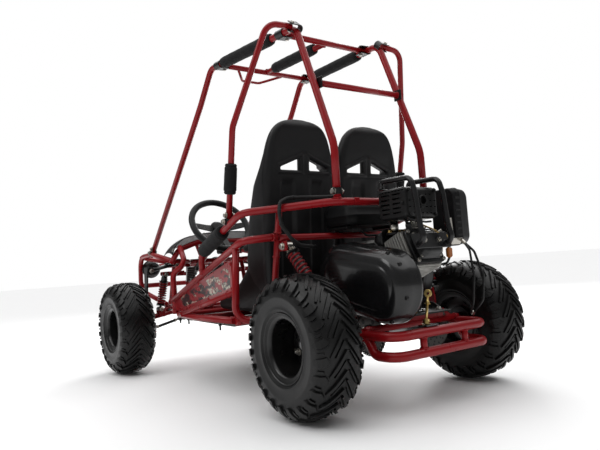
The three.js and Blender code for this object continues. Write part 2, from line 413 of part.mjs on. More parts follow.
// ---- swing arm, with the double rear bumper welded to it ----
{
  const p = [rod([-201.4, SWING[0], SWING[1]], [201.4, SWING[0], SWING[1]], 12, 10), rod([-214, SWING[0], SWING[1]], [214, SWING[0], SWING[1]], 6, 10)];
  for (const q of [1, -1]) {
    p.push(tube([[q * 190, SWING[0], SWING[1]], [q * 190, -130, 222], [q * 188, 28, 222]], R_MAIN, [0, 60, 0]));
    p.push(drum([q * 190, 0, AXLE_Z], [1, 0, 0], 26, 26, 14));
    p.push(box([q * 203.5, -30, 250], [7, 32, 92]), rod([q * 205, -30, 290], [q * 234, -30, 290], 5, 10));
    p.push(rod([q * 80, 190, 200], [q * 80, 190, 150], 9.5));
  }
  p.push(tube([[187, 18, 222], [178, 70, 200], [178, 190, 200], [-178, 190, 200], [-178, 70, 200], [-187, 18, 222]], R_BUMP, [0, 40, 45, 45, 40, 0]));
  p.push(tube([[178, 84, 200], [178, 112, 150], [178, 190, 150], [-178, 190, 150], [-178, 112, 150], [-178, 84, 200]], R_BUMP, [0, 30, 45, 45, 30, 0]));
  p.push(rod([-190, -84, 222], [190, -84, 222], R_MID), rod([-182, 84, 212], [182, 84, 212], R_MID));
  // engine plate on its two cross tubes
  p.push(box([-26, -2, 235.5], [218, 216, 5]), box([-26, 84, 226], [180, 14, 16]));
  let m = join(p);
  m = cut(m, drum([0, 0, AXLE_Z], [1, 0, 0], 13.2, 460, 14));
  add('swing_arm', m, RED());
}
{
  // engine: crankcase, inclined finned barrel and head, blower housing, recoil housing, carburettor
  const p = [box([0, -24, 305], [164, 150, 130]), box([0, -40, 410], [150, 104, 90])];
  p.push(drum([-100, -20, 352], [1, 0, 0], 92, 36, 20), drum([-128, -20, 352], [1, 0, 0], 66, 34, 16));
  const ang = THREE.MathUtils.degToRad(22.5);
  const A = (t) => [5, -20 + t * Math.cos(ang), 352 + t * Math.sin(ang)];
  p.push(box(A(110), [96, 130, 92], [ang, 0, 0]));
  for (let i = 0; i < 8; i++) p.push(box(A(84 + i * 12), [122, 4, 112], [ang, 0, 0]));
  p.push(box(A(195), [78, 44, 76], [ang, 0, 0]));
  p.push(rod([-50, 104, 442], [-133, 104, 442], 18, 12), box([-96, 104, 442], [26, 44, 52]));
  p.push(box([6, 40, 450], [150, 46, 64]));
  // crankshaft stub and the bearing bosses of the drive side, and the jackshaft's bracket plate
  p.push(drum([85, CRANK[0], CRANK[1]], [1, 0, 0], 34, 12, 14));
  p.push(plate([[-110, 262], [40, 262], [150, 290], [158, 372], [110, 396], [62, 442], [26, 442], [-60, 420], [-114, 400], [-114, 330]], [102.5, 0, 0], [0, 1, 0], [0, 0, 1], 5));
  for (const [y, z] of [[-92, 300], [-92, 350], [20, 285]]) p.push(rod([80, y, z], [101, y, z], 8, 8));
  let m = join(p);
  m = cut(m, drum([60, CRANK[0], CRANK[1]], [1, 0, 0], 13, 110, 12), drum([100, JACK[0], JACK[1]], [1, 0, 0], 14, 30, 12));
  m = cut(m, box([0, 0, 236], [400, 400, 6.6]), drum([40, 78, 480], [0, 0, 1], 12.6, 60, 10));
  add('engine_block', m, STEEL());
}
add('fuel_tank', join(plate([[-105, -65], [-92, -78], [92, -78], [105, -65], [105, 55], [92, 68], [-92, 68], [-105, 55]], [-5, -100, 535], [1, 0, 0], [0, 1, 0], 70), drum([-30, -104, 574], [0, 0, 1], 30, 22, 16)), BLACK());
{
  let m = join(plate([[-54, -40], [-46, -48], [46, -48], [54, -40], [54, 32], [46, 40], [-46, 40], [-54, 32]], [17, 114, 545], [0, 1, 0], [0, 0, 1], 124), rod([40, 78, 512], [40, 78, 462], 12, 10));
  for (let i = 0; i < 5; i++) for (const y of [91, 133]) m = cut(m, box([79, y, 517 + i * 13], [8, 32, 4]));
  m = cut(m, drum([24, 168, 545], [0, 1, 0], 11, 30, 12));
  m = join(m, cut(drum([24, 171, 545], [0, 1, 0], 14, 12, 12), drum([24, 171, 545], [0, 1, 0], 11, 20, 10)));
  add('muffler', m, ALU());
}
add('air_cleaner', plate([[-45, -85], [-30, -85], [30, -85], [45, -60], [45, 70], [30, 85], [-30, 85], [-45, 70]], [-170, 105, 505], [0, 1, 0], [0, 0, 1], 68), BLACK());
{
  // guard: two bars from feet on the muffler's top, over its rear edge and down to a bracket on the cylinder head
  const p = [];
  for (const x of [66, -42]) p.push(tube([[x, 66, 585.4], [x, 66, 610], [x, 178, 606], [x, 190, 566], [x, 199, 476], [x, 211, 438], [x, 184, 427]], 7.5, [0, 18, 24, 60, 60, 16, 0], 6, 60));
  p.push(box([12, 183.3, 436.2], [136, 5, 44], [THREE.MathUtils.degToRad(22.5), 0, 0]));
  add('engine_guard', join(p), RED());
}
{
  // belt cover: outline round the two pulleys, open on the engine side
  const lobe = (e) => { const s = new THREE.Shape(); const o = [];
    const a1 = [CRANK[0], 355, 95 - e], a2 = [139, 324, 98 - e];
    const th = Math.asin((a2[2] - a1[2]) / Math.hypot(a2[0] - a1[0], a2[1] - a1[1]));
    for (let i = 0; i <= 9; i++) { const t = Math.PI / 2 + th + (Math.PI - 2 * th) * i / 9; o.push([a1[0] + a1[2] * Math.cos(t), a1[1] + a1[2] * Math.sin(t)]); }
    for (let i = 0; i <= 10; i++) { const t = -Math.PI / 2 - th + (Math.PI + 2 * th) * i / 10; o.push([a2[0] + a2[2] * Math.cos(t), a2[1] + a2[2] * Math.sin(t)]); }
    return o; };
  let m = plate(lobe(0), [152, 0, 0], [0, 1, 0], [0, 0, 1], 76);
  m = cut(m, plate(lobe(3), [149, 0, 0], [0, 1, 0], [0, 0, 1], 76));
  // its mounting feet to the bracket plate
  m = join(m, rod([105.4, -107, 355], [122, -107, 355], 6, 8), rod([105.4, 44, 433], [122, 44, 433], 6, 8));
  add('belt_cover', m, BLACK());
}
add('control_cables', join(tube([[-150, 158, 430], [-158, 186, 400], [-165, 205, 330], [-160, 200, 262], [-150, 168, 224]], 3.5, [0, 25, 40, 30, 0], 6), tube([[-150, 158, 430], [-144, 182, 404], [-130, 200, 330], [-128, 192, 260], [-148, 164, 226]], 3.2, [0, 25, 40, 30, 0], 6)), BLACK());
add('drive_clutch', join(rod([40, CRANK[0], CRANK[1]], [184, CRANK[0], CRANK[1]], 10.5, 12), turned([[10, 122], [52, 122], [52, 127], [26, 140], [26, 146], [52, 159], [52, 166], [34, 174], [10, 174]].map((p) => [p[0], p[1] - 122]), [122, CRANK[0], CRANK[1]], [1, 0, 0], 18)), STEEL());
add('driven_pulley', join(rod([88, JACK[0], JACK[1]], [182, JACK[0], JACK[1]], 9.5, 12), drum([94, JACK[0], JACK[1]], [1, 0, 0], 24, 6, 14), turned([[9, 0], [70, 0], [70, 4], [38, 17], [38, 20], [70, 33], [70, 38], [30, 44], [9, 44]], [124, JACK[0], JACK[1]], [1, 0, 0], 20)), STEEL());
{
  let m = join(drum([0, 0, AXLE_Z], [1, 0, 0], 12.5, 640, 12), drum([94, 0, AXLE_Z], [1, 0, 0], 62, 5, 18), drum([-155, 0, AXLE_Z], [1, 0, 0], 70, 4, 18));
  for (const q of [1, -1]) m = join(m, drum([q * 282, 0, AXLE_Z], [1, 0, 0], 22, 28, 12), drum([q * 294, 0, AXLE_Z], [1, 0, 0], 42, 8, 12), drum([q * 305, 0, AXLE_Z], [1, 0, 0], 21, 16, 12));
  add('rear_axle', m, STEEL());
}
for (const q of [1, -1]) {
  const side = q > 0 ? 'left' : 'right';
  const T = [q * 254, -140, 452], L = [q * 222, -30, 290];
  const d = V(L).sub(V(T)).normalize().toArray();
  let b = join(drum(T, [1, 0, 0], 13, 20, 12), drum(along(T, d, 62), d, 14.5, 102, 12), drum(along(T, d, 26), d, 21, 5, 14));
  b = cut(b, drum(T, [1, 0, 0], 6, 40, 12), drum(along(T, d, 78), d, 6, 74, 12));
  add('rear_shock_body_' + side, b, STEEL());
  let r = join(drum(L, [1, 0, 0], 12, 20, 12), rod(along(L, d, -9), along(L, d, -122), 5.2, 10), drum(along(L, d, -20), d, 20, 5, 14));
  r = cut(r, drum(L, [1, 0, 0], 6.2, 40, 12));
  add('rear_shock_rod_' + side, r, STEEL());
}
export default kart;
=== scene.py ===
# Looks of the off road go kart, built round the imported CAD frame.
import bpy, math, random
from mathutils import Vector, Matrix, Quaternion


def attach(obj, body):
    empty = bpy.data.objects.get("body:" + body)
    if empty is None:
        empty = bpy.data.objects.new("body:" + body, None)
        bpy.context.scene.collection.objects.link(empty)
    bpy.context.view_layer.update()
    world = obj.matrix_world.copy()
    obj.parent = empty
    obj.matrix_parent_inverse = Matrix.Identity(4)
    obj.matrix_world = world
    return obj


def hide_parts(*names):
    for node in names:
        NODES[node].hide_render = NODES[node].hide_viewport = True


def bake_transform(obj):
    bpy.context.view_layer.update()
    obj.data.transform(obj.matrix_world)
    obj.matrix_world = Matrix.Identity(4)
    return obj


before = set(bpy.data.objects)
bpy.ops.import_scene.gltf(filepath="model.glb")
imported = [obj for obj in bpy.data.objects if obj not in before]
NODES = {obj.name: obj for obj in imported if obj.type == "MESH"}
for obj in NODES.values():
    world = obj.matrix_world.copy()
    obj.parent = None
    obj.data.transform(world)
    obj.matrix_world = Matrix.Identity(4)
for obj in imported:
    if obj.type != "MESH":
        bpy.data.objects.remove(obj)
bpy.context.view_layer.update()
SY = 627.3                       # the CAD's shift along Y, mm
random.seed(7)


def P(p):
    """A point in millimetres, measured from the rear axle, as a row frame point in metres."""
    return Vector((p[0] / 1000, (p[1] + SY) / 1000, p[2] / 1000))


# ---------------------------------------------------------------- materials
def material(name, base, rough=0.4, metal=0.0, second=None, var_scale=8.0, var=0.35, bump=None, bump2=None, coat=0.0, coat_rough=0.1, sheen=0.0,
             rough_var=0.12, rough_scale=25.0, stretch=(1, 1, 1), dust=None, ior=1.5, spec=0.5):
    m = bpy.data.materials.new(name)
    m.use_nodes = True
    t = m.node_tree
    n, l = t.nodes, t.links
    b = n["Principled BSDF"]
    b.inputs["Metallic"].default_value = metal
    b.inputs["IOR"].default_value = ior
    b.inputs["Specular IOR Level"].default_value = spec
    if coat:
        b.inputs["Coat Weight"].default_value = coat
        b.inputs["Coat Roughness"].default_value = coat_rough
    if sheen:
        b.inputs["Sheen Weight"].default_value = sheen
        b.inputs["Sheen Roughness"].default_value = 0.5
    tc = n.new("ShaderNodeTexCoord")
    mp = n.new("ShaderNodeMapping")
    mp.inputs["Scale"].default_value = stretch
    l.new(tc.outputs["Object"], mp.inputs["Vector"])
    nz = n.new("ShaderNodeTexNoise")
    nz.inputs["Scale"].default_value = var_scale
    nz.inputs["Detail"].default_value = 6
    nz.inputs["Roughness"].default_value = 0.6
    l.new(mp.outputs["Vector"], nz.inputs["Vector"])
    mix = n.new("ShaderNodeMix"); mix.data_type = "RGBA"
    mr = n.new("ShaderNodeMapRange")
    mr.inputs["From Min"].default_value = 0.35; mr.inputs["From Max"].default_value = 0.7
    mr.inputs["To Min"].default_value = 0.0; mr.inputs["To Max"].default_value = var
    l.new(nz.outputs["Fac"], mr.inputs["Value"])
    l.new(mr.outputs["Result"], mix.inputs["Factor"])
    mix.inputs["A"].default_value = (*base, 1)
    mix.inputs["B"].default_value = (*(second or tuple(c * 0.6 for c in base)), 1)
    colour = mix.outputs["Result"]
    if dust:
        # dust that settles on upward facing parts, less on the sides and none underneath, broken up by noise
        geo = n.new("ShaderNodeNewGeometry")
        sep = n.new("ShaderNodeSeparateXYZ")
        l.new(geo.outputs["Normal"], sep.inputs["Vector"])
        dn = n.new("ShaderNodeTexNoise"); dn.inputs["Scale"].default_value = dust[2]; dn.inputs["Detail"].default_value = 8
        l.new(tc.outputs["Object"], dn.inputs["Vector"])
        mul = n.new("ShaderNodeMath"); mul.operation = "MULTIPLY_ADD"
        mul.inputs[1].default_value = 0.5; mul.inputs[2].default_value = 0.35
        l.new(sep.outputs["Z"], mul.inputs[0])
        m2 = n.new("ShaderNodeMath"); m2.operation = "MULTIPLY"
        l.new(mul.outputs[0], m2.inputs[0]); l.new(dn.outputs["Fac"], m2.inputs[1])
        dr = n.new("ShaderNodeMapRange")
        dr.inputs["From Min"].default_value = 0.1; dr.inputs["From Max"].default_value = 0.6
        dr.inputs["To Min"].default_value = 0.0; dr.inputs["To Max"].default_value = dust[1]
        l.new(m2.outputs[0], dr.inputs["Value"])
        dm = n.new("ShaderNodeMix"); dm.data_type = "RGBA"
        l.new(dr.outputs["Result"], dm.inputs["Factor"])
        l.new(colour, dm.inputs["A"]); dm.inputs["B"].default_value = (*dust[0], 1)
        colour = dm.outputs["Result"]
    l.new(colour, b.inputs["Base Color"])
    rn = n.new("ShaderNodeTexNoise"); rn.inputs["Scale"].default_value = rough_scale; rn.inputs["Detail"].default_value = 5
    l.new(mp.outputs["Vector"], rn.inputs["Vector"])
    rr = n.new("ShaderNodeMapRange")
    rr.inputs["To Min"].default_value = max(0.02, rough - rough_var); rr.inputs["To Max"].default_value = min(1, rough + rough_var)
    l.new(rn.outputs["Fac"], rr.inputs["Value"])
    l.new(rr.outputs["Result"], b.inputs["Roughness"])
    last = None
    for spec in (bump, bump2):
        if not spec:
            continue
        kind, scale, dist, strength = spec
        if kind == "voronoi":
            tx = n.new("ShaderNodeTexVoronoi"); tx.feature = "DISTANCE_TO_EDGE"; tx.inputs["Scale"].default_value = scale; out = tx.outputs["Distance"]
        elif kind == "cell":
            tx = n.new("ShaderNodeTexVoronoi"); tx.inputs["Scale"].default_value = scale; out = tx.outputs["Distance"]
        else:
            tx = n.new("ShaderNodeTexNoise"); tx.inputs["Scale"].default_value = scale; tx.inputs["Detail"].default_value = 4; out = tx.outputs["Fac"]
        l.new(mp.outputs["Vector"], tx.inputs["Vector"])
        bp = n.new("ShaderNodeBump")
        bp.inputs["Distance"].default_value = dist; bp.inputs["Strength"].default_value = strength
        l.new(out, bp.inputs["Height"])
        if last:
            l.new(last.outputs["Normal"], bp.inputs["Normal"])
        last = bp
    if last:
        l.new(last.outputs["Normal"], b.inputs["Normal"])
    return m


DUST = (0.06, 0.055, 0.05)
RED = material("frame_paint_red", (0.245, 0.005, 0.008), 0.3, 0.05, second=(0.17, 0.004, 0.006), var_scale=5, var=0.5, bump=("noise", 900, 0.0004, 0.12), coat=0.12, coat_rough=0.12, rough_var=0.08, dust=(DUST, 0.03, 14), spec=0.2)
RED_SPRING = material("spring_paint_red", (0.20, 0.006, 0.009), 0.33, 0.1, var_scale=30, bump=("noise", 600, 0.0004, 0.1), coat=0.1, dust=(DUST, 0.03, 30), spec=0.2)
BLACK_TUBE = material("black_tube_paint", (0.0042, 0.0042, 0.0045), 0.3, 0.0, second=(0.008, 0.008, 0.009), var_scale=12, bump=("noise", 800, 0.0004, 0.12), coat=0.15, coat_rough=0.15, spec=0.35)
FOAM = material("foam_black", (0.0045, 0.0045, 0.005), 0.8, 0.0, second=(0.009, 0.009, 0.0095), var_scale=60, bump=("noise", 700, 0.0012, 0.35), bump2=("cell", 420, 0.0008, 0.3), sheen=0.04, spec=0.22)
VINYL = material("seat_vinyl", (0.0042, 0.0042, 0.0048), 0.46, 0.0, second=(0.007, 0.007, 0.008), var_scale=9, bump=("voronoi", 520, 0.0006, 0.35), bump2=("noise", 60, 0.002, 0.12), rough_var=0.1, spec=0.28)
SHELL = material("seat_shell", (0.0038, 0.0038, 0.0044), 0.46, 0.0, second=(0.0065, 0.0065, 0.0075), var_scale=20, bump=("noise", 900, 0.0005, 0.25), spec=0.26)
PLASTIC = material("black_plastic_grain", (0.0045, 0.0045, 0.005), 0.4, 0.0, second=(0.009, 0.009, 0.0095), var_scale=22, bump=("cell", 900, 0.0004, 0.35), rough_var=0.1, dust=(DUST, 0.03, 18), spec=0.2)
GLOSS = material("belt_cover_gloss", (0.0035, 0.0035, 0.004), 0.24, 0.0, second=(0.006, 0.006, 0.0065), var_scale=9, bump=("noise", 60, 0.0008, 0.10), coat=0.3, coat_rough=0.1, rough_var=0.08, dust=(DUST, 0.06, 9), spec=0.35)
TYRE = material("tyre_rubber", (0.0030, 0.0030, 0.0032), 0.38, 0.0, second=(0.006, 0.0059, 0.0057), var_scale=16, var=0.6, bump=("noise", 420, 0.0006, 0.22), bump2=("noise", 60, 0.0010, 0.12), rough_var=0.10, dust=((0.03, 0.028, 0.026), 0.06, 22), spec=0.28)
RIM = material("rim_black", (0.0035, 0.0035, 0.0038), 0.3, 0.0, second=(0.008, 0.008, 0.008), var_scale=18, bump=("noise", 500, 0.0004, 0.12), coat=0.12, dust=(DUST, 0.06, 14), spec=0.35)
CAST = material("cast_aluminium", (0.20, 0.20, 0.195), 0.42, 0.9, second=(0.07, 0.07, 0.067), var_scale=30, var=0.7, bump=("noise", 700, 0.0007, 0.4), rough_var=0.12, dust=((0.03, 0.028, 0.026), 0.45, 20))
FIN = material("fin_aluminium", (0.52, 0.51, 0.48), 0.4, 0.35, second=(0.20, 0.195, 0.18), var_scale=45, var=0.7, bump=("noise", 700, 0.0006, 0.35), rough_var=0.12, dust=((0.05, 0.045, 0.04), 0.3, 30))
BRIGHTCAST = material("bright_aluminium", (0.50, 0.50, 0.48), 0.36, 0.85, second=(0.26, 0.26, 0.25), var_scale=40, var=0.6, bump=("noise", 700, 0.0006, 0.35), rough_var=0.12, dust=((0.08, 0.075, 0.07), 0.25, 26))
DISC = material("dull_disc_steel", (0.085, 0.083, 0.08), 0.42, 0.9, second=(0.05, 0.046, 0.04), var_scale=26, bump=("noise", 900, 0.0003, 0.25))
TANK = material("tank_paint_black", (0.0035, 0.0035, 0.0038), 0.5, 0.0, second=(0.006, 0.006, 0.0065), var_scale=14, bump=("noise", 700, 0.0004, 0.15), spec=0.15)
STEEL = material("machined_steel", (0.34, 0.34, 0.34), 0.3, 1.0, second=(0.20, 0.195, 0.19), var_scale=26, bump=("noise", 900, 0.0003, 0.25), stretch=(1, 1, 1))
ZINC = material("zinc_plated", (0.52, 0.50, 0.46), 0.28, 1.0, second=(0.36, 0.33, 0.26), var_scale=60, bump=("noise", 500, 0.0003, 0.15))
DARKSTEEL = material("black_steel", (0.008, 0.008, 0.0085), 0.36, 0.4, second=(0.016, 0.015, 0.014), var_scale=40, bump=("noise", 500, 0.0004, 0.2), dust=(DUST, 0.07, 20), spec=0.35)
ALU_SHEET = material("floor_sheet", (0.26, 0.255, 0.25), 0.4, 0.9, second=(0.15, 0.145, 0.14), var_scale=10, var=0.6, bump=("noise", 120, 0.0005, 0.2), dust=((0.10, 0.09, 0.08), 0.4, 8))
RUBBER = material("black_rubber", (0.004, 0.004, 0.0043), 0.5, 0.0, second=(0.009, 0.009, 0.0095), var_scale=40, bump=("noise", 600, 0.0004, 0.2), spec=0.3)
REDP = material("red_plastic", (0.40, 0.008, 0.008), 0.3, 0.0, var_scale=60, bump=("noise", 500, 0.0002, 0.1), coat=0.3)
AMBER = material("amber_plastic", (0.36, 0.11, 0.018), 0.25, 0.0, second=(0.22, 0.06, 0.01), var_scale=60, bump=("noise", 300, 0.0003, 0.1), coat=0.3)
BRASS = material("brass", (0.50, 0.34, 0.12), 0.3, 1.0, var_scale=50, bump=("noise", 500, 0.0003, 0.15))
YZINC = material("yellow_zinc", (0.55, 0.40, 0.15), 0.3, 1.0, second=(0.34, 0.26, 0.12), var_scale=60, bump=("noise", 500, 0.0003, 0.15))


def lens_material():
    m = material("lamp_lens", (0.55, 0.56, 0.58), 0.12, 0.6, second=(0.35, 0.36, 0.38), var_scale=40, bump=("cell", 260, 0.001, 0.6), coat=1.0, coat_rough=0.03)
    return m


LENS = lens_material()


def panel_material():
    """Red sheet with a plain abstract pattern: slanted dark and pale shards."""
    m = material("side_panel_pattern", (0.24, 0.008, 0.012), 0.3, 0.05, var_scale=10, bump=("noise", 700, 0.0003, 0.1), coat=0.3, spec=0.35)
    t = m.node_tree; n, l = t.nodes, t.links
    b = n["Principled BSDF"]
    base_link = b.inputs["Base Color"].links[0].from_socket
    tc = n.new("ShaderNodeTexCoord")
    mp = n.new("ShaderNodeMapping"); mp.inputs["Rotation"].default_value = (0.55, 0, 0); mp.inputs["Scale"].default_value = (1, 26, 70)
    l.new(tc.outputs["Object"], mp.inputs["Vector"])
    vo = n.new("ShaderNodeTexVoronoi"); vo.feature = "F1"; vo.distance = "MANHATTAN"; vo.inputs["Scale"].default_value = 1.0; vo.inputs["Randomness"].default_value = 0.9
    l.new(mp.outputs["Vector"], vo.inputs["Vector"])
    sep = n.new("ShaderNodeSeparateColor"); l.new(vo.outputs["Color"], sep.inputs["Color"])

    def step(sock, thr):
        s = n.new("ShaderNodeMath"); s.operation = "GREATER_THAN"; s.inputs[1].default_value = thr
        l.new(sock, s.inputs[0]); return s.outputs[0]

    xyz = n.new("ShaderNodeSeparateXYZ"); l.new(tc.outputs["Object"], xyz.inputs[0])

    def inside(ky, kz, c):
        """1 where ky * Y + kz * Z + c is positive"""
        a = n.new("ShaderNodeMath"); a.operation = "MULTIPLY_ADD"; a.inputs[1].default_value = ky; a.inputs[2].default_value = c; l.new(xyz.outputs["Y"], a.inputs[0])
        d = n.new("ShaderNodeMath"); d.operation = "MULTIPLY_ADD"; d.inputs[1].default_value = kz; l.new(xyz.outputs["Z"], d.inputs[0]); l.new(a.outputs[0], d.inputs[2])
        return step(d.outputs[0], 0.0)

    def both(p, q):
        d = n.new("ShaderNodeMath"); d.operation = "MULTIPLY"; l.new(p, d.inputs[0]); l.new(q, d.inputs[1])
        return d.outputs[0]

    def edge(ku, kv, c):
        """the same for ku * u + kv * v + c, with u and v in mm along and up the sheet"""
        return inside(ku * 1005.7, kv * 1000, ku * 304.4 - kv * 262 + c)
    # plain red border all round the pattern
    field = both(both(edge(0.202, -1, 24), edge(0, 1, -4)), both(both(edge(-0.147, 1, 10.6), edge(1, 0.66, -138)), edge(-1, 0, 612)))
    dark = step(sep.outputs["Red"], 0.42)
    nz = n.new("ShaderNodeTexNoise"); nz.inputs["Scale"].default_value = 90; nz.inputs["Detail"].default_value = 8; nz.inputs["Roughness"].default_value = 0.75
    l.new(tc.outputs["Object"], nz.inputs["Vector"])
    ragged = step(nz.outputs["Fac"], 0.43)
    mul = n.new("ShaderNodeMath"); mul.operation = "MULTIPLY"; l.new(dark, mul.inputs[0]); l.new(ragged, mul.inputs[1])
    m1 = n.new("ShaderNodeMix"); m1.data_type = "RGBA"; l.new(both(mul.outputs[0], field), m1.inputs["Factor"]); l.new(base_link, m1.inputs["A"]); m1.inputs["B"].default_value = (0.006, 0.006, 0.0065, 1)
    pale = step(sep.outputs["Green"], 0.74)
    mul2 = n.new("ShaderNodeMath"); mul2.operation = "MULTIPLY"; l.new(pale, mul2.inputs[0]); l.new(step(nz.outputs["Fac"], 0.5), mul2.inputs[1])
    m2 = n.new("ShaderNodeMix"); m2.data_type = "RGBA"; l.new(both(mul2.outputs[0], field), m2.inputs["Factor"]); l.new(m1.outputs["Result"], m2.inputs["A"]); m2.inputs["B"].default_value = (0.42, 0.38, 0.30, 1)
    l.new(m2.outputs["Result"], b.inputs["Base Color"])
    return m


PANEL = panel_material()


# ---------------------------------------------------------------- mesh building
class Build:
    def __init__(self):
        self.v, self.f, self.s, self.mi, self.mats = [], [], [], [], []

    def mat(self, m):
        if m not in self.mats:
            self.mats.append(m)
        return self.mats.index(m)

    def grid(self, rows, closed=True, cap0=False, cap1=False, smooth=True, mat=None):
        """rows: lists of equal length of row frame points; each row is a ring (closed) or a strip"""
        k = self.mat(mat) if mat else 0
        base, n = len(self.v), len(rows[0])
        for r in rows:
            self.v.extend(r)
        for i in range(len(rows) - 1):
            for j in range(n if closed else n - 1):
                a, b = base + i * n + j, base + i * n + (j + 1) % n
                self.f.append((a, b, b + n, a + n)); self.s.append(smooth); self.mi.append(k)
        if cap0:
            self.f.append(tuple(base + j for j in reversed(range(n)))); self.s.append(False); self.mi.append(k)
        if cap1:
            o = base + (len(rows) - 1) * n
            self.f.append(tuple(o + j for j in range(n))); self.s.append(False); self.mi.append(k)
        return base

    def make(self, name, body=None, replaces=(), mats=None, slot=None, weld=False, sub=0, fix=True):
        me = bpy.data.meshes.new(name)
        me.from_pydata([tuple(p) for p in self.v], [], self.f)
        for m in (self.mats or mats or []):
            me.materials.append(m)
        if not self.mats and mats:
            pass
        for p, s, k in zip(me.polygons, self.s, self.mi):
            p.use_smooth = s; p.material_index = k
        me.validate()
        o = bpy.data.objects.new(name, me)
        bpy.context.scene.collection.objects.link(o)
        if fix:
            import bmesh
            bm = bmesh.new(); bm.from_mesh(me)
            bmesh.ops.recalc_face_normals(bm, faces=bm.faces)
            bm.to_mesh(me); bm.free()
        if sub:
            md = o.modifiers.new("sub", "SUBSURF"); md.levels = sub; md.render_levels = sub
            o = applied(o)
        if replaces:
            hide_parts(*replaces)
        if body:
            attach(o, body)
        return o

    # -- primitives, in millimetres from the rear axle
    def tube(self, pts, r, bends=40.0, sides=16, step=9.0, mat=None, caps=True):
        path, tans = bent(pts, bends, step)
        up = Vector((0, 0, 1)) if abs(tans[0].z) < 0.9 else Vector((1, 0, 0))
        u = tans[0].cross(up).normalized()
        rows = []
        for i, (c, t) in enumerate(zip(path, tans)):
            u = (u - t * u.dot(t)).normalized()
            w = t.cross(u)
            rr = r if not callable(r) else r(i / (len(path) - 1))
            rows.append([P(c + (u * math.cos(a) + w * math.sin(a)) * rr) for a in [2 * math.pi * j / sides for j in range(sides)]])
        self.grid(rows, True, caps, caps, True, mat)

    def lathe(self, profile, c, axis, segs=32, mat=None, smooth=True, turn=0.0, caps=(True, True), sharp=None):
        ax = Vector(axis).normalized()
        up = Vector((0, 0, 1)) if abs(ax.z) < 0.9 else Vector((0, 1, 0))
        u = ax.cross(up).normalized(); w = ax.cross(u)
        c = Vector(c)
        rows = []
        for r, t in profile:
            rows.append([P(c + ax * t + (u * math.cos(a + turn) + w * math.sin(a + turn)) * r) for a in [2 * math.pi * j / segs for j in range(segs)]])
        self.grid(rows, True, profile[0][0] > 1e-3 and caps[0], profile[-1][0] > 1e-3 and caps[1], smooth, mat)

    def drum(self, c, axis, r, h, segs=24, mat=None, ch=None):
        ch = min(r, h) * 0.12 if ch is None else ch
        prof = [(0.01, -h / 2), (r - ch, -h / 2), (r, -h / 2 + ch), (r, h / 2 - ch), (r - ch, h / 2), (0.01, h / 2)]
        # doubled rings keep the flat faces flat under smooth shading
        dbl = []
        for i, p in enumerate(prof):
            dbl.append(p)
        ax = Vector(axis).normalized()
        for a, b in zip(prof, prof[1:]):
            self.lathe([a, b], c, axis, segs, mat, True, 0, (False, False))

    def ringp(self, prof, c, axis, segs=40, mat=None):
        """a turned part with crisp edges: each profile segment has its own rings"""
        for a, b in zip(prof, prof[1:]):
            self.lathe([a, b], c, axis, segs, mat, True, 0, (False, False))

    def torus(self, c, axis, R, r, segs=48, sides=12, mat=None, wob=0.0):
        ax = Vector(axis).normalized()
        up = Vector((0, 0, 1)) if abs(ax.z) < 0.9 else Vector((0, 1, 0))
        u = ax.cross(up).normalized(); w = ax.cross(u); c = Vector(c)
        rows = []
        for i in range(segs):
            a = 2 * math.pi * i / segs
            d = u * math.cos(a) + w * math.sin(a)
            rr = r * (1 + wob * math.sin(a * 9 + 1.3 * math.sin(a * 4)))
            rows.append([P(c + d * (R + rr * math.cos(b)) + ax * rr * math.sin(b)) for b in [2 * math.pi * j / sides for j in range(sides)]])
        rows.append(rows[0])
        self.grid(rows, True, False, False, True, mat)

    def box(self, c, s, rot=None, ch=2.0, mat=None):
        """a box with chamfered edges"""
        k = self.mat(mat) if mat else 0
        R = rot or Matrix.Identity(3)
        c = Vector(c); h = [x / 2 for x in s]; ch = min(ch, min(h) * 0.9)
        idx = {}
        for sx in (-1, 1):
            for sy in (-1, 1):
                for sz in (-1, 1):
                    for ax in range(3):
                        q = [sx * h[0], sy * h[1], sz * h[2]]
                        for a in range(3):
                            if a != ax:
                                q[a] -= (sx, sy, sz)[a] * ch
                        idx[(sx, sy, sz, ax)] = len(self.v)
                        self.v.append(P(c + R @ Vector(q)))
        def face(*keys):
            self.f.append(tuple(idx[x] for x in keys)); self.s.append(False); self.mi.append(k)
        for ax in range(3):
            a, b = [i for i in range(3) if i != ax]
            for s0 in (-1, 1):
                def key(sa, sb, ax=ax, a=a, b=b, s0=s0):
                    q = [0, 0, 0]; q[ax] = s0; q[a] = sa; q[b] = sb
                    return (*q, ax)
                face(key(-1, -1), key(1, -1), key(1, 1), key(-1, 1))
        for ax in range(3):
            a, b = [i for i in range(3) if i != ax]
            for sa in (-1, 1):
                for sb in (-1, 1):
                    def key(s, o, a=a, b=b, ax=ax, sa=sa, sb=sb):
                        q = [0, 0, 0]; q[ax] = s; q[a] = sa; q[b] = sb
                        return (*q, o)
                    face(key(-1, a), key(1, a), key(1, b), key(-1, b))
        for sx in (-1, 1):
            for sy in (-1, 1):
                for sz in (-1, 1):
                    face((sx, sy, sz, 0), (sx, sy, sz, 1), (sx, sy, sz, 2))

    def plate(self, outline, c, du, dv, thick, mat=None, ch=1.0):
        du, dv = Vector(du).normalized(), Vector(dv).normalized()
        n = du.cross(dv); c = Vector(c)
        def ring(off, t):
            if off:
                cx = sum(p[0] for p in outline) / len(outline); cy = sum(p[1] for p in outline) / len(outline)
                pts = []
                for p in outline:
                    d = Vector((p[0] - cx, p[1] - cy)); q = d - d.normalized() * off if d.length > off else d
                    pts.append((cx + q.x, cy + q.y))
            else:
                pts = outline
            return [P(c + du * p[0] + dv * p[1] + n * t) for p in pts]
        h = thick / 2
        ch = min(ch, h * 0.8)
        self.grid([ring(ch, -h), ring(0, -h + ch), ring(0, h - ch), ring(ch, h)], True, True, True, False, mat)

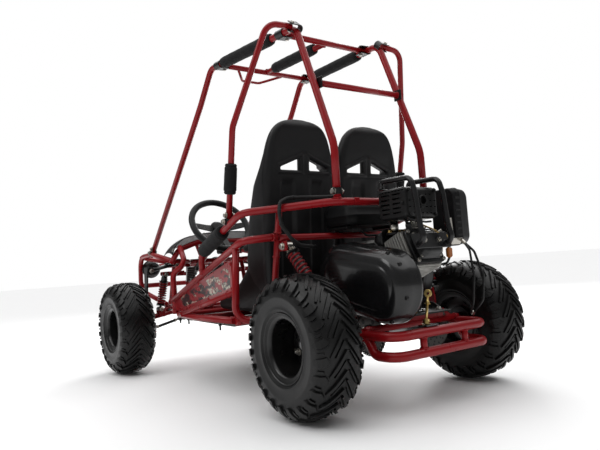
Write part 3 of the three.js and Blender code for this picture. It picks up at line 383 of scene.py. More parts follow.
    def hexbolt(self, p, n, size=13.0, h=6.0, washer=True, mat=None, stud=0.0):
        n = Vector(n).normalized(); p = Vector(p)
        up = Vector((0, 0, 1)) if abs(n.z) < 0.9 else Vector((0, 1, 0))
        u = n.cross(up).normalized(); w = n.cross(u)
        R = size / 2 / math.cos(math.pi / 6)
        if washer:
            self.ringp([(0.5, 0), (size * 0.78, 0), (size * 0.78, 1.6), (0.5, 1.6)], p, n, 20, mat)
        t0 = 1.6 if washer else 0
        rot = random.random()
        def ring(r, t):
            return [P(p + n * t + (u * math.cos(a + rot) + w * math.sin(a + rot)) * r) for a in [math.pi / 3 * j for j in range(6)]]
        self.grid([ring(R, t0), ring(R, t0 + h * 0.86), ring(R * 0.9, t0 + h)], True, False, True, False, mat)
        if stud:
            self.drum(p + n * (t0 + h + stud / 2), n, size * 0.3, stud, 12, mat)

    def weld(self, p, axis, r, mat=None, t=2.2):
        self.torus(p, axis, r + 0.2, t, 26, 6, mat, wob=0.18)

    def helix(self, a, b, R, r, turns, mat=None, sides=8, per=20, flat=0.6):
        a, b = Vector(a), Vector(b)
        ax = (b - a).normalized(); L = (b - a).length
        up = Vector((0, 0, 1)) if abs(ax.z) < 0.9 else Vector((0, 1, 0))
        u = ax.cross(up).normalized(); w = ax.cross(u)
        N = int(turns * per); rows = []
        for i in range(N + 1):
            q = i / per
            # closed end coils
            s = q / turns
            e = 0.5 - 0.5 * math.cos(math.pi * min(1, q / flat)) if q < flat else 1
            pitch = L - 2 * r
            g = (max(0, q - flat * 0.5) - 0) / (turns - flat)
            z = min(max((q - flat * 0.5) / (turns - flat), 0), 1) * pitch + r
            ang = 2 * math.pi * q
            d = u * math.cos(ang) + w * math.sin(ang)
            rows.append([P(a + ax * z + d * (R - r + r * math.cos(t)) + ax * (r * math.sin(t))) for t in [2 * math.pi * j / sides for j in range(sides)]])
        self.grid(rows, True, True, True, True, mat)


def bent(pts, bends, step):
    p = [Vector(q) for q in pts]
    bends = bends if isinstance(bends, (list, tuple)) else [bends] * len(p)
    out, tan = [p[0]], [(p[1] - p[0]).normalized()]
    for i in range(1, len(p) - 1):
        a, b = p[i] - p[i - 1], p[i + 1] - p[i]
        la, lb = a.length, b.length
        a.normalize(); b.normalize()
        ang = a.angle(b)
        if ang < 1e-3 or bends[i] <= 0:
            out.append(p[i]); tan.append((a + b).normalized()); continue
        r = bends[i]; d = r * math.tan(ang / 2)
        dm = min(la, lb) * 0.49
        if d > dm:
            d = dm; r = d / math.tan(ang / 2)
        n = max(1, round(math.degrees(ang) / step))
        s = p[i] - a * d
        c = p[i] + (b - a).normalized() * (r / math.cos(ang / 2))
        ax = a.cross(b).normalized()
        for k in range(n + 1):
            q = Quaternion(ax, ang * k / n)
            out.append(c + q @ (s - c)); tan.append(q @ a)
    out.append(p[-1]); tan.append((p[-1] - p[-2]).normalized())
    return out, tan


def applied(o):
    dg = bpy.context.evaluated_depsgraph_get()
    me = bpy.data.meshes.new_from_object(o.evaluated_get(dg))
    o.modifiers.clear()
    o.data = me
    return o


def along(p, d, t):
    return Vector(p) + Vector(d) * t


def rotx(deg):
    return Matrix.Rotation(math.radians(deg), 3, "X")


# ---------------------------------------------------------------- frame
RM, RT, RBUMP = 11.1, 9.5, 12.7
FY = -1186
COL = Vector((0, -.8331, -.5531))
WC = Vector((130, -788, 575))


def mirror(pts, s):
    return [(s * p[0], p[1], p[2]) for p in pts]


def sides_of(pts):
    return [(1, pts), (-1, [(-p[0], p[1], p[2]) for p in pts])]


LOWER = [(284, -956, 284), (361, -219, 476), (281, -146, 481)]
UPPER = [(331, -553, 386), (331, -553, 458), (360, -215, 557), (186, 8, 563), (-186, 8, 563), (-360, -215, 557), (-331, -553, 458), (-331, -553, 386)]
SEATPOST = [(356, -266, 458), (352, -302, 242), (258, -240, 240)]
FLOORRAIL = [(352, -306, 243), (318, -621, 238), (288, -870, 239), (158, -1075, 236), (158, -1330, 236)]
BUMPERSIDE = [(252, -976, 446), (232, -1270, 491), (222, -1452, 486), (214, -1488, 330), (150, -1312, 254)]
HOOPFOOT = [(286, -908, 240), (284, -922, 398), (256, -860, 432), (238, -944, 502)]
DASH = [(262, -985, 440), (238, -962, 492), (150, -962, 522), (-150, -962, 522), (-238, -962, 492), (-262, -985, 440)]
HOOP = [(227, -1268, 502.6), (211, -735, 1032), (205, -642, 1147), (171, -141, 1119), (173, 4, 724), (175, 3, 577.4)]
HOOPB = [0, 150, 45, 55, 120, 0]
PILLAR = [(352.6, -303.5, 547.6), (354, -243, 817), (273, -142, 1112), (187, -141, 1118)]
BRACE = [(246, -1010, 451), (132, -1085, 446), (132, -1290, 446)]


def roofx(y):
    return 171 + 34 * (-141 - y) / 501


def roofz(y):
    return 1119 + 28 * (-141 - y) / 501


b = Build()
for s in (1, -1):
    m = lambda p: mirror(p, s)
    b.tube(m(LOWER), RM, [0, 55, 0], mat=RED)
    b.tube(m([(283, -130, 556), (262, -236, 236)]), RT, 1, mat=RED)
    b.tube(m(SEATPOST), RM, [0, 42, 0], mat=RED)
    b.tube(m(FLOORRAIL), RM, [0, 0, 40, 60, 0], mat=RED)
    b.tube(m([(298, -836, 240), (352, -295, 330)]), RT, 1, mat=RED)
    b.tube(m(HOOPFOOT), RM, [0, 34, 30, 0], mat=RED)
    # pivot ears of the swing arm, shock tabs, lower arm ears and their bolts
    b.box((s * 205, -278, 239), (6, 60, 28), ch=1.2, mat=RED)
    b.hexbolt((s * 214.5, -265, 238), (s, 0, 0), 17, 8, mat=ZINC)
    b.box((s * 270, -146, 453), (6, 50, 28), ch=1.2, mat=RED)
    b.hexbolt((s * 273.2, -140, 452), (s, 0, 0), 15, 7, mat=ZINC)
    b.tube(m([(242, -140, 452), (269, -140, 452)]), 5, 1, sides=12, mat=ZINC)
    for y in (FY - 66, FY + 66):
        b.box((s * 177, y, 238), (34, 5, 24), ch=1.2, mat=RED)
    b.tube([(s * 184, FY - 67, 238), (s * 184, FY + 67, 238)], 5, 1, sides=12, mat=ZINC)
    for e in (1, -1):
        b.hexbolt((s * 184, FY + e * 68.6, 238), (0, e, 0), 15, 7, mat=ZINC)
    b.box((s * 130, -460, 249), (24, 330, 6), ch=1.5, mat=DARKSTEEL)
    for y in (-600, -520, -400, -330):
        b.hexbolt((s * 130, y, 245.8), (0, 0, -1), 10, 5, mat=ZINC)
    # weld beads
    for p, d, r in [((352.5, -306, 254), (0, 0.02, 1), RM), ((274, -175, 424), (0.07, .31, .95), RT), ((281, -148, 493), (.06, .3, .95), RT), ((297, -152, 479.6), (1, 0, 0), RT),
                    ((262, -231, 250), (.06, .31, .95), RT), ((347, -345, 322), (-.1, -.98, -.16), RT), ((302, -800, 246), (.1, .98, .16), RT), ((286.5, -910, 253), (0, -.09, .99), RM),
                    ((340, -300, 240), (1, 0, 0), RM), ((307, -621, 238), (1, 0, 0), RT), ((277, -868, 239), (1, 0, 0), RT), ((157, -1058, 236), (1, 0, 0), RM), ((147, -1322, 236), (1, 0, 0), RM),
                    ((285.5, -942, 289), (.1, .95, .27), RM)]:
        b.weld((s * p[0], p[1], p[2]), (s * d[0], d[1], d[2]), r, RED)
for p, r in [((-300, 240, 352), RM), ((-621, 238, 318), RT), ((-868, 239, 288), RT), ((-1058, 236, 166), RM), ((-1322, 236, 158), RM), ((-152, 478, 278), RT)]:
    b.tube([(-p[2], p[0], p[1]), (p[2], p[0], p[1])], r, 1, mat=RED)
# rack housing and its clamps
b.ringp([(7.7, -100.5), (12.4, -100.5), (13, -99.5), (13, 99.5), (12.4, 100.5), (7.7, 100.5)], (40.5, -1110, 205), (1, 0, 0), 28, CAST)
for x in (-40, 60):
    b.box((x, -1083, 219), (14, 54, 20), ch=2, mat=CAST)
    for e in (1, -1):
        b.ringp([(13, -6), (16.5, -6), (16.5, 6), (13, 6)], (x, -1110, 205), (1, 0, 0), 24, CAST)
b.ringp([(7.2, -18), (10.6, -18), (11.6, -16), (11.6, 10), (10.4, 14), (8.8, 14)], (130, -1102, 209), (0, -.23, .973), 26, CAST)
for x in (66, 112, 150, 196):
    b.box((x, -1044, 254), (4, 40, 34), ch=1, mat=RED)
b.tube([(65, -1035, 262), (113, -1035, 262)], 4, 1, sides=12, mat=ZINC)
b.tube([(149, -1035, 262), (197, -1035, 262)], 4, 1, sides=12, mat=ZINC)
for x, e in ((63.8, -1), (114.2, 1), (147.8, -1), (198.2, 1)):
    b.hexbolt((x, -1035, 262), (e, 0, 0), 12, 5, mat=ZINC)
b.make("frame_tubes", "frame", ["chassis"], slot="frame_paint")

b = Build()
b.tube(UPPER, RM, [0, 45, 75, 70, 70, 75, 45, 0], mat=RED)
for s in (1, -1):
    b.tube([(s * 352.4, -309.2, 522.2), (s * 352.6, -303.6, 547.2)], RT, 1, mat=RED)
    b.tube([(s * 175, 3, 563), (s * 175, 3, 577)], RM, 1, mat=RED)
    b.weld((s * 352.5, -306.5, 537), (0, .22, .97), RT, RED)
    b.weld((s * 331, -553, 401), (0, 0, 1), RM, RED)
    # flanged feet of the pillar and the hoop, each with a cross bolt
    b.ringp([(RT, -9), (RT + 4.4, -9), (RT + 4.4, 9), (RT, 9)], (s * 352.55, -304.9, 541.4), (0, .22, .975), 24, DARKSTEEL)
    b.hexbolt((s * 369, -306, 541.4), (s, 0, 0), 12, 6, mat=ZINC)
    b.weld((s * 175, 3, 573.6), (0, 0, 1), RM, RED, 2)
    # small tabs for the loom along the rear tube
    b.box((s * 120, 22, 566), (18, 4, 14), ch=1, mat=RED)
b.make("upper_rail_tubes", "frame", ["upper_rail_loop"], slot="frame_paint")


def foam_sleeve(name, a, c, r, body="frame", bands=3, reps=(), slotname="foam"):
    """A thick foam sleeve on a tube, with tucked ends and shallow band marks."""
    a, c = Vector(a), Vector(c)
    L = (c - a).length
    ax = (c - a).normalized()
    o = Build()
    prof = []
    inner = 11.4
    n = 64
    for i in range(n + 1):
        t = L * i / n
        e = min(t, L - t)
        rr = r - (5.5 * math.exp(-e / 3.2))
        for k in range(bands):
            pos = 9 + (L - 18) * k / max(1, bands - 1) if bands > 1 else L / 2
            rr -= 1.8 * math.exp(-((t - pos) / 2.4) ** 2)
        rr += 0.35 * math.sin(t / 23 + a.x) * math.sin(t / 9)
        prof.append((rr, t))
    full = [(inner, 1.0), (r - 7.5, 0.0)] + prof + [(r - 7.5, L), (inner, L - 1.0)]
    o.lathe(full, a, ax, 32, FOAM, True, 0, (True, True))
    ob = o.make(name, body, list(reps), slot=slotname)
    return ob


for s, nm in ((1, "left"), (-1, "right")):
    foam_sleeve("side_foam_" + nm, (s * 335, -526, 464), (s * 349, -352, 516), 23.0, bands=2)

b = Build()
for s in (1, -1):
    m = lambda p: mirror(p, s)
    b.tube(m(BUMPERSIDE), RM, [0, 60, 70, 60, 0], mat=RED)
    b.tube(m([(227.6, -1286.7, 484), (227.01, -1268.3, 502.3)]), RM, 1, mat=RED)
    b.ringp([(RM, -10), (RM + 4.6, -10), (RM + 4.6, 10), (RM, 10)], (s * 227.1, -1272.5, 498.1), (0, .71, .7), 24, DARKSTEEL)
    b.hexbolt((s * 243, -1272.5, 498.1), (s, 0, 0), 13, 6, mat=ZINC)
    b.tube(m(BRACE), RT, [0, 45, 0], mat=RED)
    b.tube(m([(132, -1108, 448), (150, -1096, 250)]), RT, 1, mat=RED)
    b.tube(m([(132, -1262, 448), (150, -1290, 250)]), RT, 1, mat=RED)
    b.tube(m([(132, -1286, 446), (224, -1440, 484)]), RT, 1, mat=RED)
    b.tube(m([(141, -1103, 395), (141, -1280, 395)]), 8, 1, mat=RED)
    for y in (-1172, -1144):
        b.plate([(-50, -10), (38, -10), (50, -4), (50, 8), (44, 10), (-50, 10)], (s * 187, y, 399), (s, 0, 0), (0, 0, 1), 4, RED)
    b.tube([(s * 222, -1174, 397), (s * 222, -1142, 397)], 4.6, 1, sides=12, mat=ZINC)
    for e, y in ((-1, -1174.4), (1, -1141.6)):
        b.hexbolt((s * 222, y, 397), (0, e, 0), 14, 6, mat=ZINC)
    for y in (FY - 62, FY + 62):
        b.box((s * 158, y, 440), (56, 5, 22), ch=1.2, mat=RED)
    b.tube([(s * 176, FY - 63, 440), (s * 176, FY + 63, 440)], 4.6, 1, sides=12, mat=ZINC)
    for e in (1, -1):
        b.hexbolt((s * 176, FY + e * 64.6, 440), (0, e, 0), 14, 6, mat=ZINC)
    for p, d, r in [((228.5, -1284.5, 486.5), (0, .7, .71), RM), ((136.5, -1105, 400), (-.09, -.06, 1), RT), ((149, -1098, 262), (-.09, -.06, .99), RT), ((149, -1288, 262), (-.09, .14, .98), RT),
                    ((140, -1300, 449.5), (.5, -.84, .2), RT), ((202, -1474, 440), (1, 0, 0), RM), ((203, -1482, 350), (1, 0, 0), RM), ((240, -1015, 451), (.83, .55, 0), RT), ((156, -1322, 258.5), (-.3, -.92, -.2), RM)]:
        b.weld((s * p[0], p[1], p[2]), (s * d[0], d[1], d[2]), r, RED)
b.tube(DASH, RM, [0, 40, 80, 80, 40, 0], mat=RED)
for y, z, w, r in ((-1474, 440, 216, RM), (-1482, 350, 214, RM), (-1285, 446, 132, RT), (-1095, 446, 140, RT)):
    b.tube([(-w, y, z), (w, y, z)], r, 1, mat=RED)
b.tube([(160, -962, 520), (141, -962, 466)], 7, 1, mat=RED)
b.tube([(100, -962, 520), (119, -962, 466)], 7, 1, mat=RED)
b.ringp([(10, -13), (16, -13), (17, -12), (17, 12), (16, 13), (10, 13)], (130, -962, 459.5), COL, 26, RED)
b.ringp([(9.7, -14.5), (12, -14.5), (12, 14.5), (9.7, 14.5)], (130, -962, 459.5), COL, 24, BLACK_TUBE)
# switch box with a key switch and a rocker beside the stop button
b.box((30, -946, 490), (74, 34, 46), ch=5, mat=PLASTIC)
b.ringp([(0.5, 4), (8.5, 4), (8.5, 0), (10.5, 0)], (3, -929, 488), (0, 1, 0), 20, STEEL)
b.box((3, -923.6, 488), (2, 5, 11), ch=.6, mat=STEEL)
b.box((52, -928, 486), (12, 4, 22), ch=1.5, mat=RUBBER)
b.make("nose_tubes", "frame", ["nose_frame"], slot="frame_paint")


# headlights on the front cross tube
for s, nm in ((1, "left"), (-1, "right")):
    o = Build()
    c = (s * 174, -1440, 428)
    o.ringp([(0.5, 40), (16, 39), (28, 33), (35, 22), (38, 6), (40, -2), (43, -4), (43, -12), (40, -14), (37.5, -12.5)], c, (0, 1, 0), 40, PLASTIC)
    o.lathe([(0.3, -15.5), (14, -15), (26, -13.6), (36, -11.2), (38, -9)], c, (0, 1, 0), 40, LENS)
    o.ringp([(38, -9), (38.6, -13)], c, (0, 1, 0), 40, CAST)
    o.box((s * 174, -1459, 434), (18, 9, 26), ch=1.2, mat=DARKSTEEL)
    for e in (1, -1):
        o.hexbolt((s * 174 + e * 13, -1456, 440), (0, 1, 0), 8, 4, False, DARKSTEEL)
    o.tube([(s * 174, -1401, 428), (s * 170, -1380, 426), (s * 152, -1335, 440), (s * 134, -1296, 450)], 3.2, 25, sides=10, mat=RUBBER)
    o.make("headlight_" + nm, "frame", slot="black_plastic")

# floor sheet with five raised strips across it and rivets
o = Build()
OUT = [(150, -1050), (284, -862), (312, -621), (344, -330), (-344, -330), (-312, -621), (-284, -862), (-150, -1050)]
o.plate(OUT, (0, 0, 224.2), (1, 0, 0), (0, 1, 0), 2.4, ALU_SHEET, 0.4)
for s in (1, -1):
    for x, y in ((330, -420), (322, -520), (300, -690), (292, -780), (255, -880), (205, -950), (165, -1010), (90, -1040), (90, -340), (200, -340), (300, -340)):
        o.ringp([(0.4, 2.2), (4.5, 1.6), (5.5, 0)], (s * x, y, 225.4), (0, 0, 1), 14, ZINC)
for k in range(5):
    o.box((0, -980 + k * 130, 226.1), (300 + 60 * min(k, 2), 9, 1.6), ch=.7, mat=ALU_SHEET)
o.make("floor_sheet", "frame", ["floor_pan"], slot="alloy")

# side panels: sheet with a raised border, held by screws
for s, nm in ((1, "left"), (-1, "right")):
    A, Bp = Vector((s * 285, -930, 262)), Vector((s * 354, -285, 262))
    du = (Bp - A).normalized(); L = (Bp - A).length
    poly = [(14, -6), (14, 38), (L - 22, 162), (L - 22, 64), (150, -6)]
    o = Build()
    o.plate(poly, A, du, (0, 0, 1), 2.5, PANEL, 0.5)
    nrm = Vector((du.y, -du.x, 0)) * s
    if nrm.x * s < 0:
        nrm = -nrm
    for u, v in ((26, 16), (L - 30, 76), (L - 30, 150), (200, 8), (410, 42), (320, 92)):
        o.ringp([(0.4, 3.4), (4.6, 2.6), (6.0, 0.8), (6.0, 0)], A + du * u + Vector((0, 0, v)) + nrm * 1.25, nrm, 16, RED)
    # edge bead
    pts = [A + du * u + Vector((0, 0, v)) for u, v in poly]
    o.tube(pts + [pts[0]], 1.9, 3, sides=8, mat=RED)
    o.make("side_sheet_" + nm, "frame", ["side_panel_" + nm], slot="frame_paint")

# nose cover
o = Build()
up = [(273, 472), (253, 512), (204, 543), (122, 558), (0, 563)]
sec = [(-x, z) for x, z in up[:4]] + [up[4]] + [up[3 - i] for i in range(4)]


def smooth_line(pts, n):
    out = []
    for i in range(len(pts) - 1):
        p0, p1, p2, p3 = pts[max(i - 1, 0)], pts[i], pts[i + 1], pts[min(i + 2, len(pts) - 1)]
        for k in range(n):
            t = k / n
            out.append(tuple(0.5 * (2 * p1[j] + (p2[j] - p0[j]) * t + (2 * p0[j] - 5 * p1[j] + 4 * p2[j] - p3[j]) * t * t + (3 * p1[j] - p0[j] - 3 * p2[j] + p3[j]) * t ** 3) for j in range(len(p1))))
    out.append(pts[-1])
    return out


line = smooth_line(sec, 6)
rows = []
for k in range(21):
    f = k / 20
    y = -945 - 250 * f
    row_o, row_i = [], []
    for i, (x, z) in enumerate(line):
        c = 1 - abs(2 * i / (len(line) - 1) - 1)
        g = 2.2 * math.exp(-((c - 0.62) / 0.05) ** 2) + 1.2 * math.exp(-((f - 0.12) / 0.03) ** 2)
        xx, zz = x * (1 - 0.24 * f), 563 - (563 - z) * (1 - 0.55 * f) - 42 * f * f
        d = Vector((xx, 0, zz - 380)).normalized()
        row_o.append(P((xx, y, zz)))
        q = Vector((xx, y, zz)) - d * (3.2 + g)
        row_i.append(P(q))
        row_o[-1] = P(Vector((xx, y, zz)) - d * g)
    rows.append(row_o + row_i[::-1])
o.grid(rows, True, True, True, True, PLASTIC)
for s in (1, -1):
    for f, k in ((0.08, 1), (0.08, 6), (0.9, 3)):
        i = k * 3
        x, z = line[i] if s < 0 else line[len(line) - 1 - i]
        xx, zz = x * (1 - 0.24 * f), 563 - (563 - z) * (1 - 0.55 * f) - 42 * f * f
        d = Vector((xx, 0, zz - 380)).normalized()
        o.ringp([(0.4, 2.4), (5, 1.8), (7, 0)], Vector((xx, -945 - 250 * f, zz)) - d * 0.6, d, 16, ZINC)
nc = o.make("nose_shell", "frame", ["nose_cover"], slot="black_plastic")


# ---------------------------------------------------------------- cage
def band(o, c, axis, r, w, mat=None):
    o.ringp([(r, -w / 2), (r + 3.2, -w / 2), (r + 4, -w / 2 + .8), (r + 4, w / 2 - .8), (r + 3.2, w / 2), (r, w / 2)], c, axis, 26, mat or DARKSTEEL)


def saddle(o, c, main, out, r, L=34):
    """A pressed saddle bracket wrapped round a main tube, with two ears and bolts towards direction out."""
    c, main, out = Vector(c), Vector(main).normalized(), Vector(out).normalized()
    side = main.cross(out).normalized()
    ring = []
    R = r + 0.4
    rows = []
    for t in (-L / 2, L / 2):
        row_in, row_out = [], []
        for k in range(25):
            a = math.radians(70 + 220 * k / 24)
            d = out * math.cos(a) + side * math.sin(a)
            row_in.append(P(c + main * t + d * R)); row_out.append(P(c + main * t + d * (R + 3.4)))
        # ears run on along the outgoing tube
        rows.append(row_out + [P(c + main * t + side * -(R + 1.2) + out * 30)] + [P(c + main * t + side * -(R - 1.6) + out * 30)] + row_in[::-1] + [P(c + main * t + side * (R - 1.6) + out * 30)] + [P(c + main * t + side * (R + 1.2) + out * 30)])
    o.grid(rows, True, True, True, False, BLACK_TUBE)
    for e in (1, -1):
        o.hexbolt(c + out * 21 + side * e * (R + 1.8), side * e, 9.5, 4.5, False, ZINC)


for s, nm in ((1, "left"), (-1, "right")):
    b = Build()
    b.tube(mirror(HOOP, s), RM, HOOPB, step=6, sides=20, mat=RED)
    E, D = -585, -212
    for y in (E, D):
        saddle(b, (s * roofx(y), y, roofz(y)), (-s * 34, 501, -28), (-s, 0, 0), RM)
    # pillar's saddle at the rear corner, brace tube's plate
    saddle(b, (s * 171.2, -141 + 6, 1114), (0, .75, -.66), (s, 0, 0.02), RM, 26)
    b.box((s * 160, -60 + 0, 921), (5, 30, 34), ch=1, mat=DARKSTEEL)
    b.hexbolt((s * 157, -60, 921), (-s, 0, 0), 12, 6, mat=ZINC)
    # cross bolt through the foot
    b.hexbolt((s * (175 + 11.6), 3, 592), (s, 0, 0), 14, 6, mat=ZINC)
    b.hexbolt((s * (175 - 11.6), 3, 592), (-s, 0, 0), 14, 6, mat=ZINC, stud=5)
    b.hexbolt((s * (226.4 + 11.6), -1255, 514.6), (s, 0, 0), 13, 6, mat=ZINC)
    b.ringp([(RM, -9), (RM + 4.2, -9), (RM + 4.2, 9), (RM, 9)], (s * 174.9, 3.1, 592), (0, 0, 1), 24, DARKSTEEL)
    b.make("hoop_tube_" + nm, "frame", ["cage_hoop_" + nm], slot="frame_paint")
    ya, yb = (-560, -262) if s > 0 else (-532, -250)
    foam_sleeve("roof_foam_" + nm, (s * roofx(ya), ya, roofz(ya)), (s * roofx(yb), yb, roofz(yb)), 19.8, bands=2)
    b = Build()
    b.tube(mirror(PILLAR, s), RT, [0, 90, 48, 0], step=6, sides=18, mat=RED)
    b.hexbolt((s * (352.9 + 10), -300.8, 560), (s, 0, 0), 12, 6, mat=ZINC)
    b.hexbolt((s * (352.9 - 10), -300.8, 560), (-s, 0, 0), 12, 6, mat=ZINC)
    b.make("pillar_tube_" + nm, "frame", ["mid_pillar_" + nm], slot="frame_paint")
    foam_sleeve("pillar_foam_" + nm, (s * 353.1, -286.5, 622), (s * 353.6, -266.5, 712), 19.3, bands=2)

b = Build()
E, D = -585, -212
for y in (E, D):
    b.tube([(-roofx(y) + 12.5, y, roofz(y)), (roofx(y) - 12.5, y, roofz(y))], RT, 1, sides=18, mat=RED)
b.tube([(0, E, roofz(E)), (0, D, roofz(D))], RT, 1, sides=18, mat=RED)
for y, e in ((E, 1), (D, -1)):
    b.weld((0, y + e * 10.5, roofz(y)), (0, 1, 0), RT, RED)
b.tube([(124, E, roofz(E)), (56, E - 89, roofz(E) - 12.5), (-20, E - 89, roofz(E) - 12.5), (-88, E, roofz(E))], 5, [0, 18, 18, 0], sides=12, mat=RED)
b.make("roof_tubes", "frame", ["roof_frame"], slot="frame_paint")
foam_sleeve("roof_foam_middle", (0, E + 60, roofz(E + 60)), (0, D - 60, roofz(D - 60)), 19.3, bands=2)
b = Build()
b.tube([(-162, -60, 921), (162, -60, 921)], RT, 1, sides=18, mat=RED)
for s in (1, -1):
    b.weld((s * 155, -60, 921), (1, 0, 0), RT, RED, 1.8)
b.make("rear_brace", "frame", ["rear_brace_tube"], slot="frame_paint")


# ---------------------------------------------------------------- seats
def sstep(a, c, x):
    t = max(0.0, min(1.0, (x - a) / (c - a)))
    return t * t * (3 - 2 * t)


def interp(tab, x):
    if x <= tab[0][0]:
        return tab[0][1]
    for (a, va), (c, vc) in zip(tab, tab[1:]):
        if x <= c:
            return va + (vc - va) * (x - a) / (c - a)
    return tab[-1][1]


def cubic(tab, x):
    for i in range(len(tab) - 1):
        if x <= tab[i + 1][0] or i == len(tab) - 2:
            a, c = tab[i], tab[i + 1]
            p0 = tab[max(i - 1, 0)]; p3 = tab[min(i + 2, len(tab) - 1)]
            h = c[0] - a[0]
            m1 = (c[1] - p0[1]) / (c[0] - p0[0]) if i > 0 else (c[1] - a[1]) / h
            m2 = (p3[1] - a[1]) / (p3[0] - a[0]) if i < len(tab) - 2 else (c[1] - a[1]) / h
            t = max(0, min(1, (x - a[0]) / h))
            return (2 * t ** 3 - 3 * t * t + 1) * a[1] + (t ** 3 - 2 * t * t + t) * h * m1 + (-2 * t ** 3 + 3 * t * t) * c[1] + (t ** 3 - t * t) * h * m2
    return tab[-1][1]


HALFW = [(278, 119), (330, 127), (480, 134.5), (640, 135), (700, 130), (760, 119), (805, 102), (832, 78), (844, 50), (848, 22)]


def hole_dist(x, z):
    """Distance outside the nearer harness hole: low at its outer end, tall at the middle bar."""
    u = abs(x)
    top = 726 - (u - 17) * 30 / 73
    return max(17 - u, u - 90, 688 - z, (z - top) * 0.92)


def hole_field(x, z):
    d = hole_dist(x, z)
    return math.exp(-((d - 8.0) / 4.6) ** 2) if d > -3 else 0


def fillet(pts, r, n=4):
    """Outline with its corners rounded."""
    out = []
    for i in range(len(pts)):
        p0, p1, p2 = Vector(pts[i - 1]), Vector(pts[i]), Vector(pts[(i + 1) % len(pts)])
        a, c = (p0 - p1), (p2 - p1)
        la, lc = a.length, c.length
        a.normalize(); c.normalize()
        q = min(r, la * 0.45, lc * 0.45)
        for k in range(n + 1):
            t = k / n
            e = p1 + a * q * (1 - t) ** 2 + c * q * t ** 2
            out.append((e.x, e.y))
    return out


def back_row(z, cx, pad=False):
    w = cubic(HALFW, z)
    top = sstep(800, 849, z)
    h = 19 * math.sqrt(max(0.02, 1 - top ** 3))
    yc = -252 + 0.0871 * (z - 292)
    N = 72
    back, front = [], []
    for i in range(N + 1):
        u = -1 + 2 * i / N
        x = w * math.sin(math.pi / 2 * u)
        ax = abs(x)
        edge = 1.0 if ax < w - 19 else math.sqrt(max(0.0, 1 - ((ax - (w - 19)) / 19) ** 2))
        # the back: a soft crown, a recessed lower panel on either side of a middle rib, relief round the holes
        rec = 7.0 * sstep(300, 340, z) * (1 - sstep(640, 668, z)) * sstep(26, 36, ax) * (1 - sstep(72, 84, ax))
        rec += 3.0 * sstep(668, 676, z) * (1 - sstep(700, 760, z)) * (1 - sstep(84, 104, ax))
        rib = 1.5 * math.exp(-(x / 15) ** 2) * sstep(330, 420, z) * (1 - sstep(640, 670, z))
        bar = 0.0
        rel = 4.6 * hole_field(cx + x - math.copysign(130, cx), z) * (1 - sstep(w - 16, w - 4, ax))
        yb = yc + h * edge + (rib + bar + rel - rec) * edge
        B = interp([(278, 80), (330, 108), (420, 112), (560, 86), (650, 58), (700, 26), (740, 8), (848, 0)], z)
        bol = B * math.exp(-((ax - (w - 20)) / 17) ** 4) if ax > w - 60 else 0
        bol = B * sstep(w - 48, w - 24, ax)
        pads = 7 * sstep(10, 30, w - ax - 22)
        rel2 = 0.0
        yf = yc - (h + bol + 2 + rel2 * (1 - top)) * edge
        back.append(P((cx + x, yb, z)))
        front.append(P((cx + x, yf, z + bol * 0.02)))
    return back + front[::-1]


def pan_row(t, cx):
    """t: 0 at the seat's back, 1 at its front edge."""
    y = -214 - 408 * t
    w = 127 - 20 * sstep(0.45, 1, t)
    front = sstep(0.93, 1.0, t)
    w *= 1 - 0.10 * front
    zb = 262 - 2 * math.sin(math.pi * t) + 8 * front
    N = 40
    bot, up = [], []
    for i in range(N + 1):
        u = -1 + 2 * i / N
        x = w * math.sin(math.pi / 2 * u)
        ax = abs(x)
        edge = 1.0 if ax < w - 14 else math.sqrt(max(0.0, 1 - ((ax - (w - 14)) / 14) ** 2))
        bolh = interp([(0, 90), (0.28, 128), (0.36, 122), (0.42, 98), (0.5, 70), (0.58, 50), (0.8, 30), (0.93, 20), (1, 2)], t)
        bol = bolh * sstep(w - 44, w - 20, ax)
        th = 32 * math.sqrt(max(0.05, 1 - front ** 2))
        z0 = zb + 15
        zt = z0 + (th - 15 + bol) * edge - 5 * math.exp(-(x / 50) ** 2) * math.sin(math.pi * min(1, t * 1.1))
        bot.append(P((cx + x, y, z0 - 15 * edge * (1 - 0.5 * front))))
        up.append(P((cx + x, y, max(zt, z0 - 15 * edge + 1))))
    return bot + up[::-1]


def puffy(name, cx, rows_fn, nu, nv, body="frame"):
    """A stitched pad built as a closed puffed panel: rows_fn(u, v) gives the place, and normal offset."""
    o = Build()
    top, bot = [], []
    for j in range(nv + 1):
        rt, rb = [], []
        for i in range(nu + 1):
            p, nrm, hh = rows_fn(i / nu, j / nv)
            rt.append(P(p + nrm * hh)); rb.append(P(p - nrm * 4))
        top.append(rt + rb[::-1])
    o.grid(top, True, True, True, True, VINYL)
    ob = o.make(name, body, slot="seat_cover")
    return ob


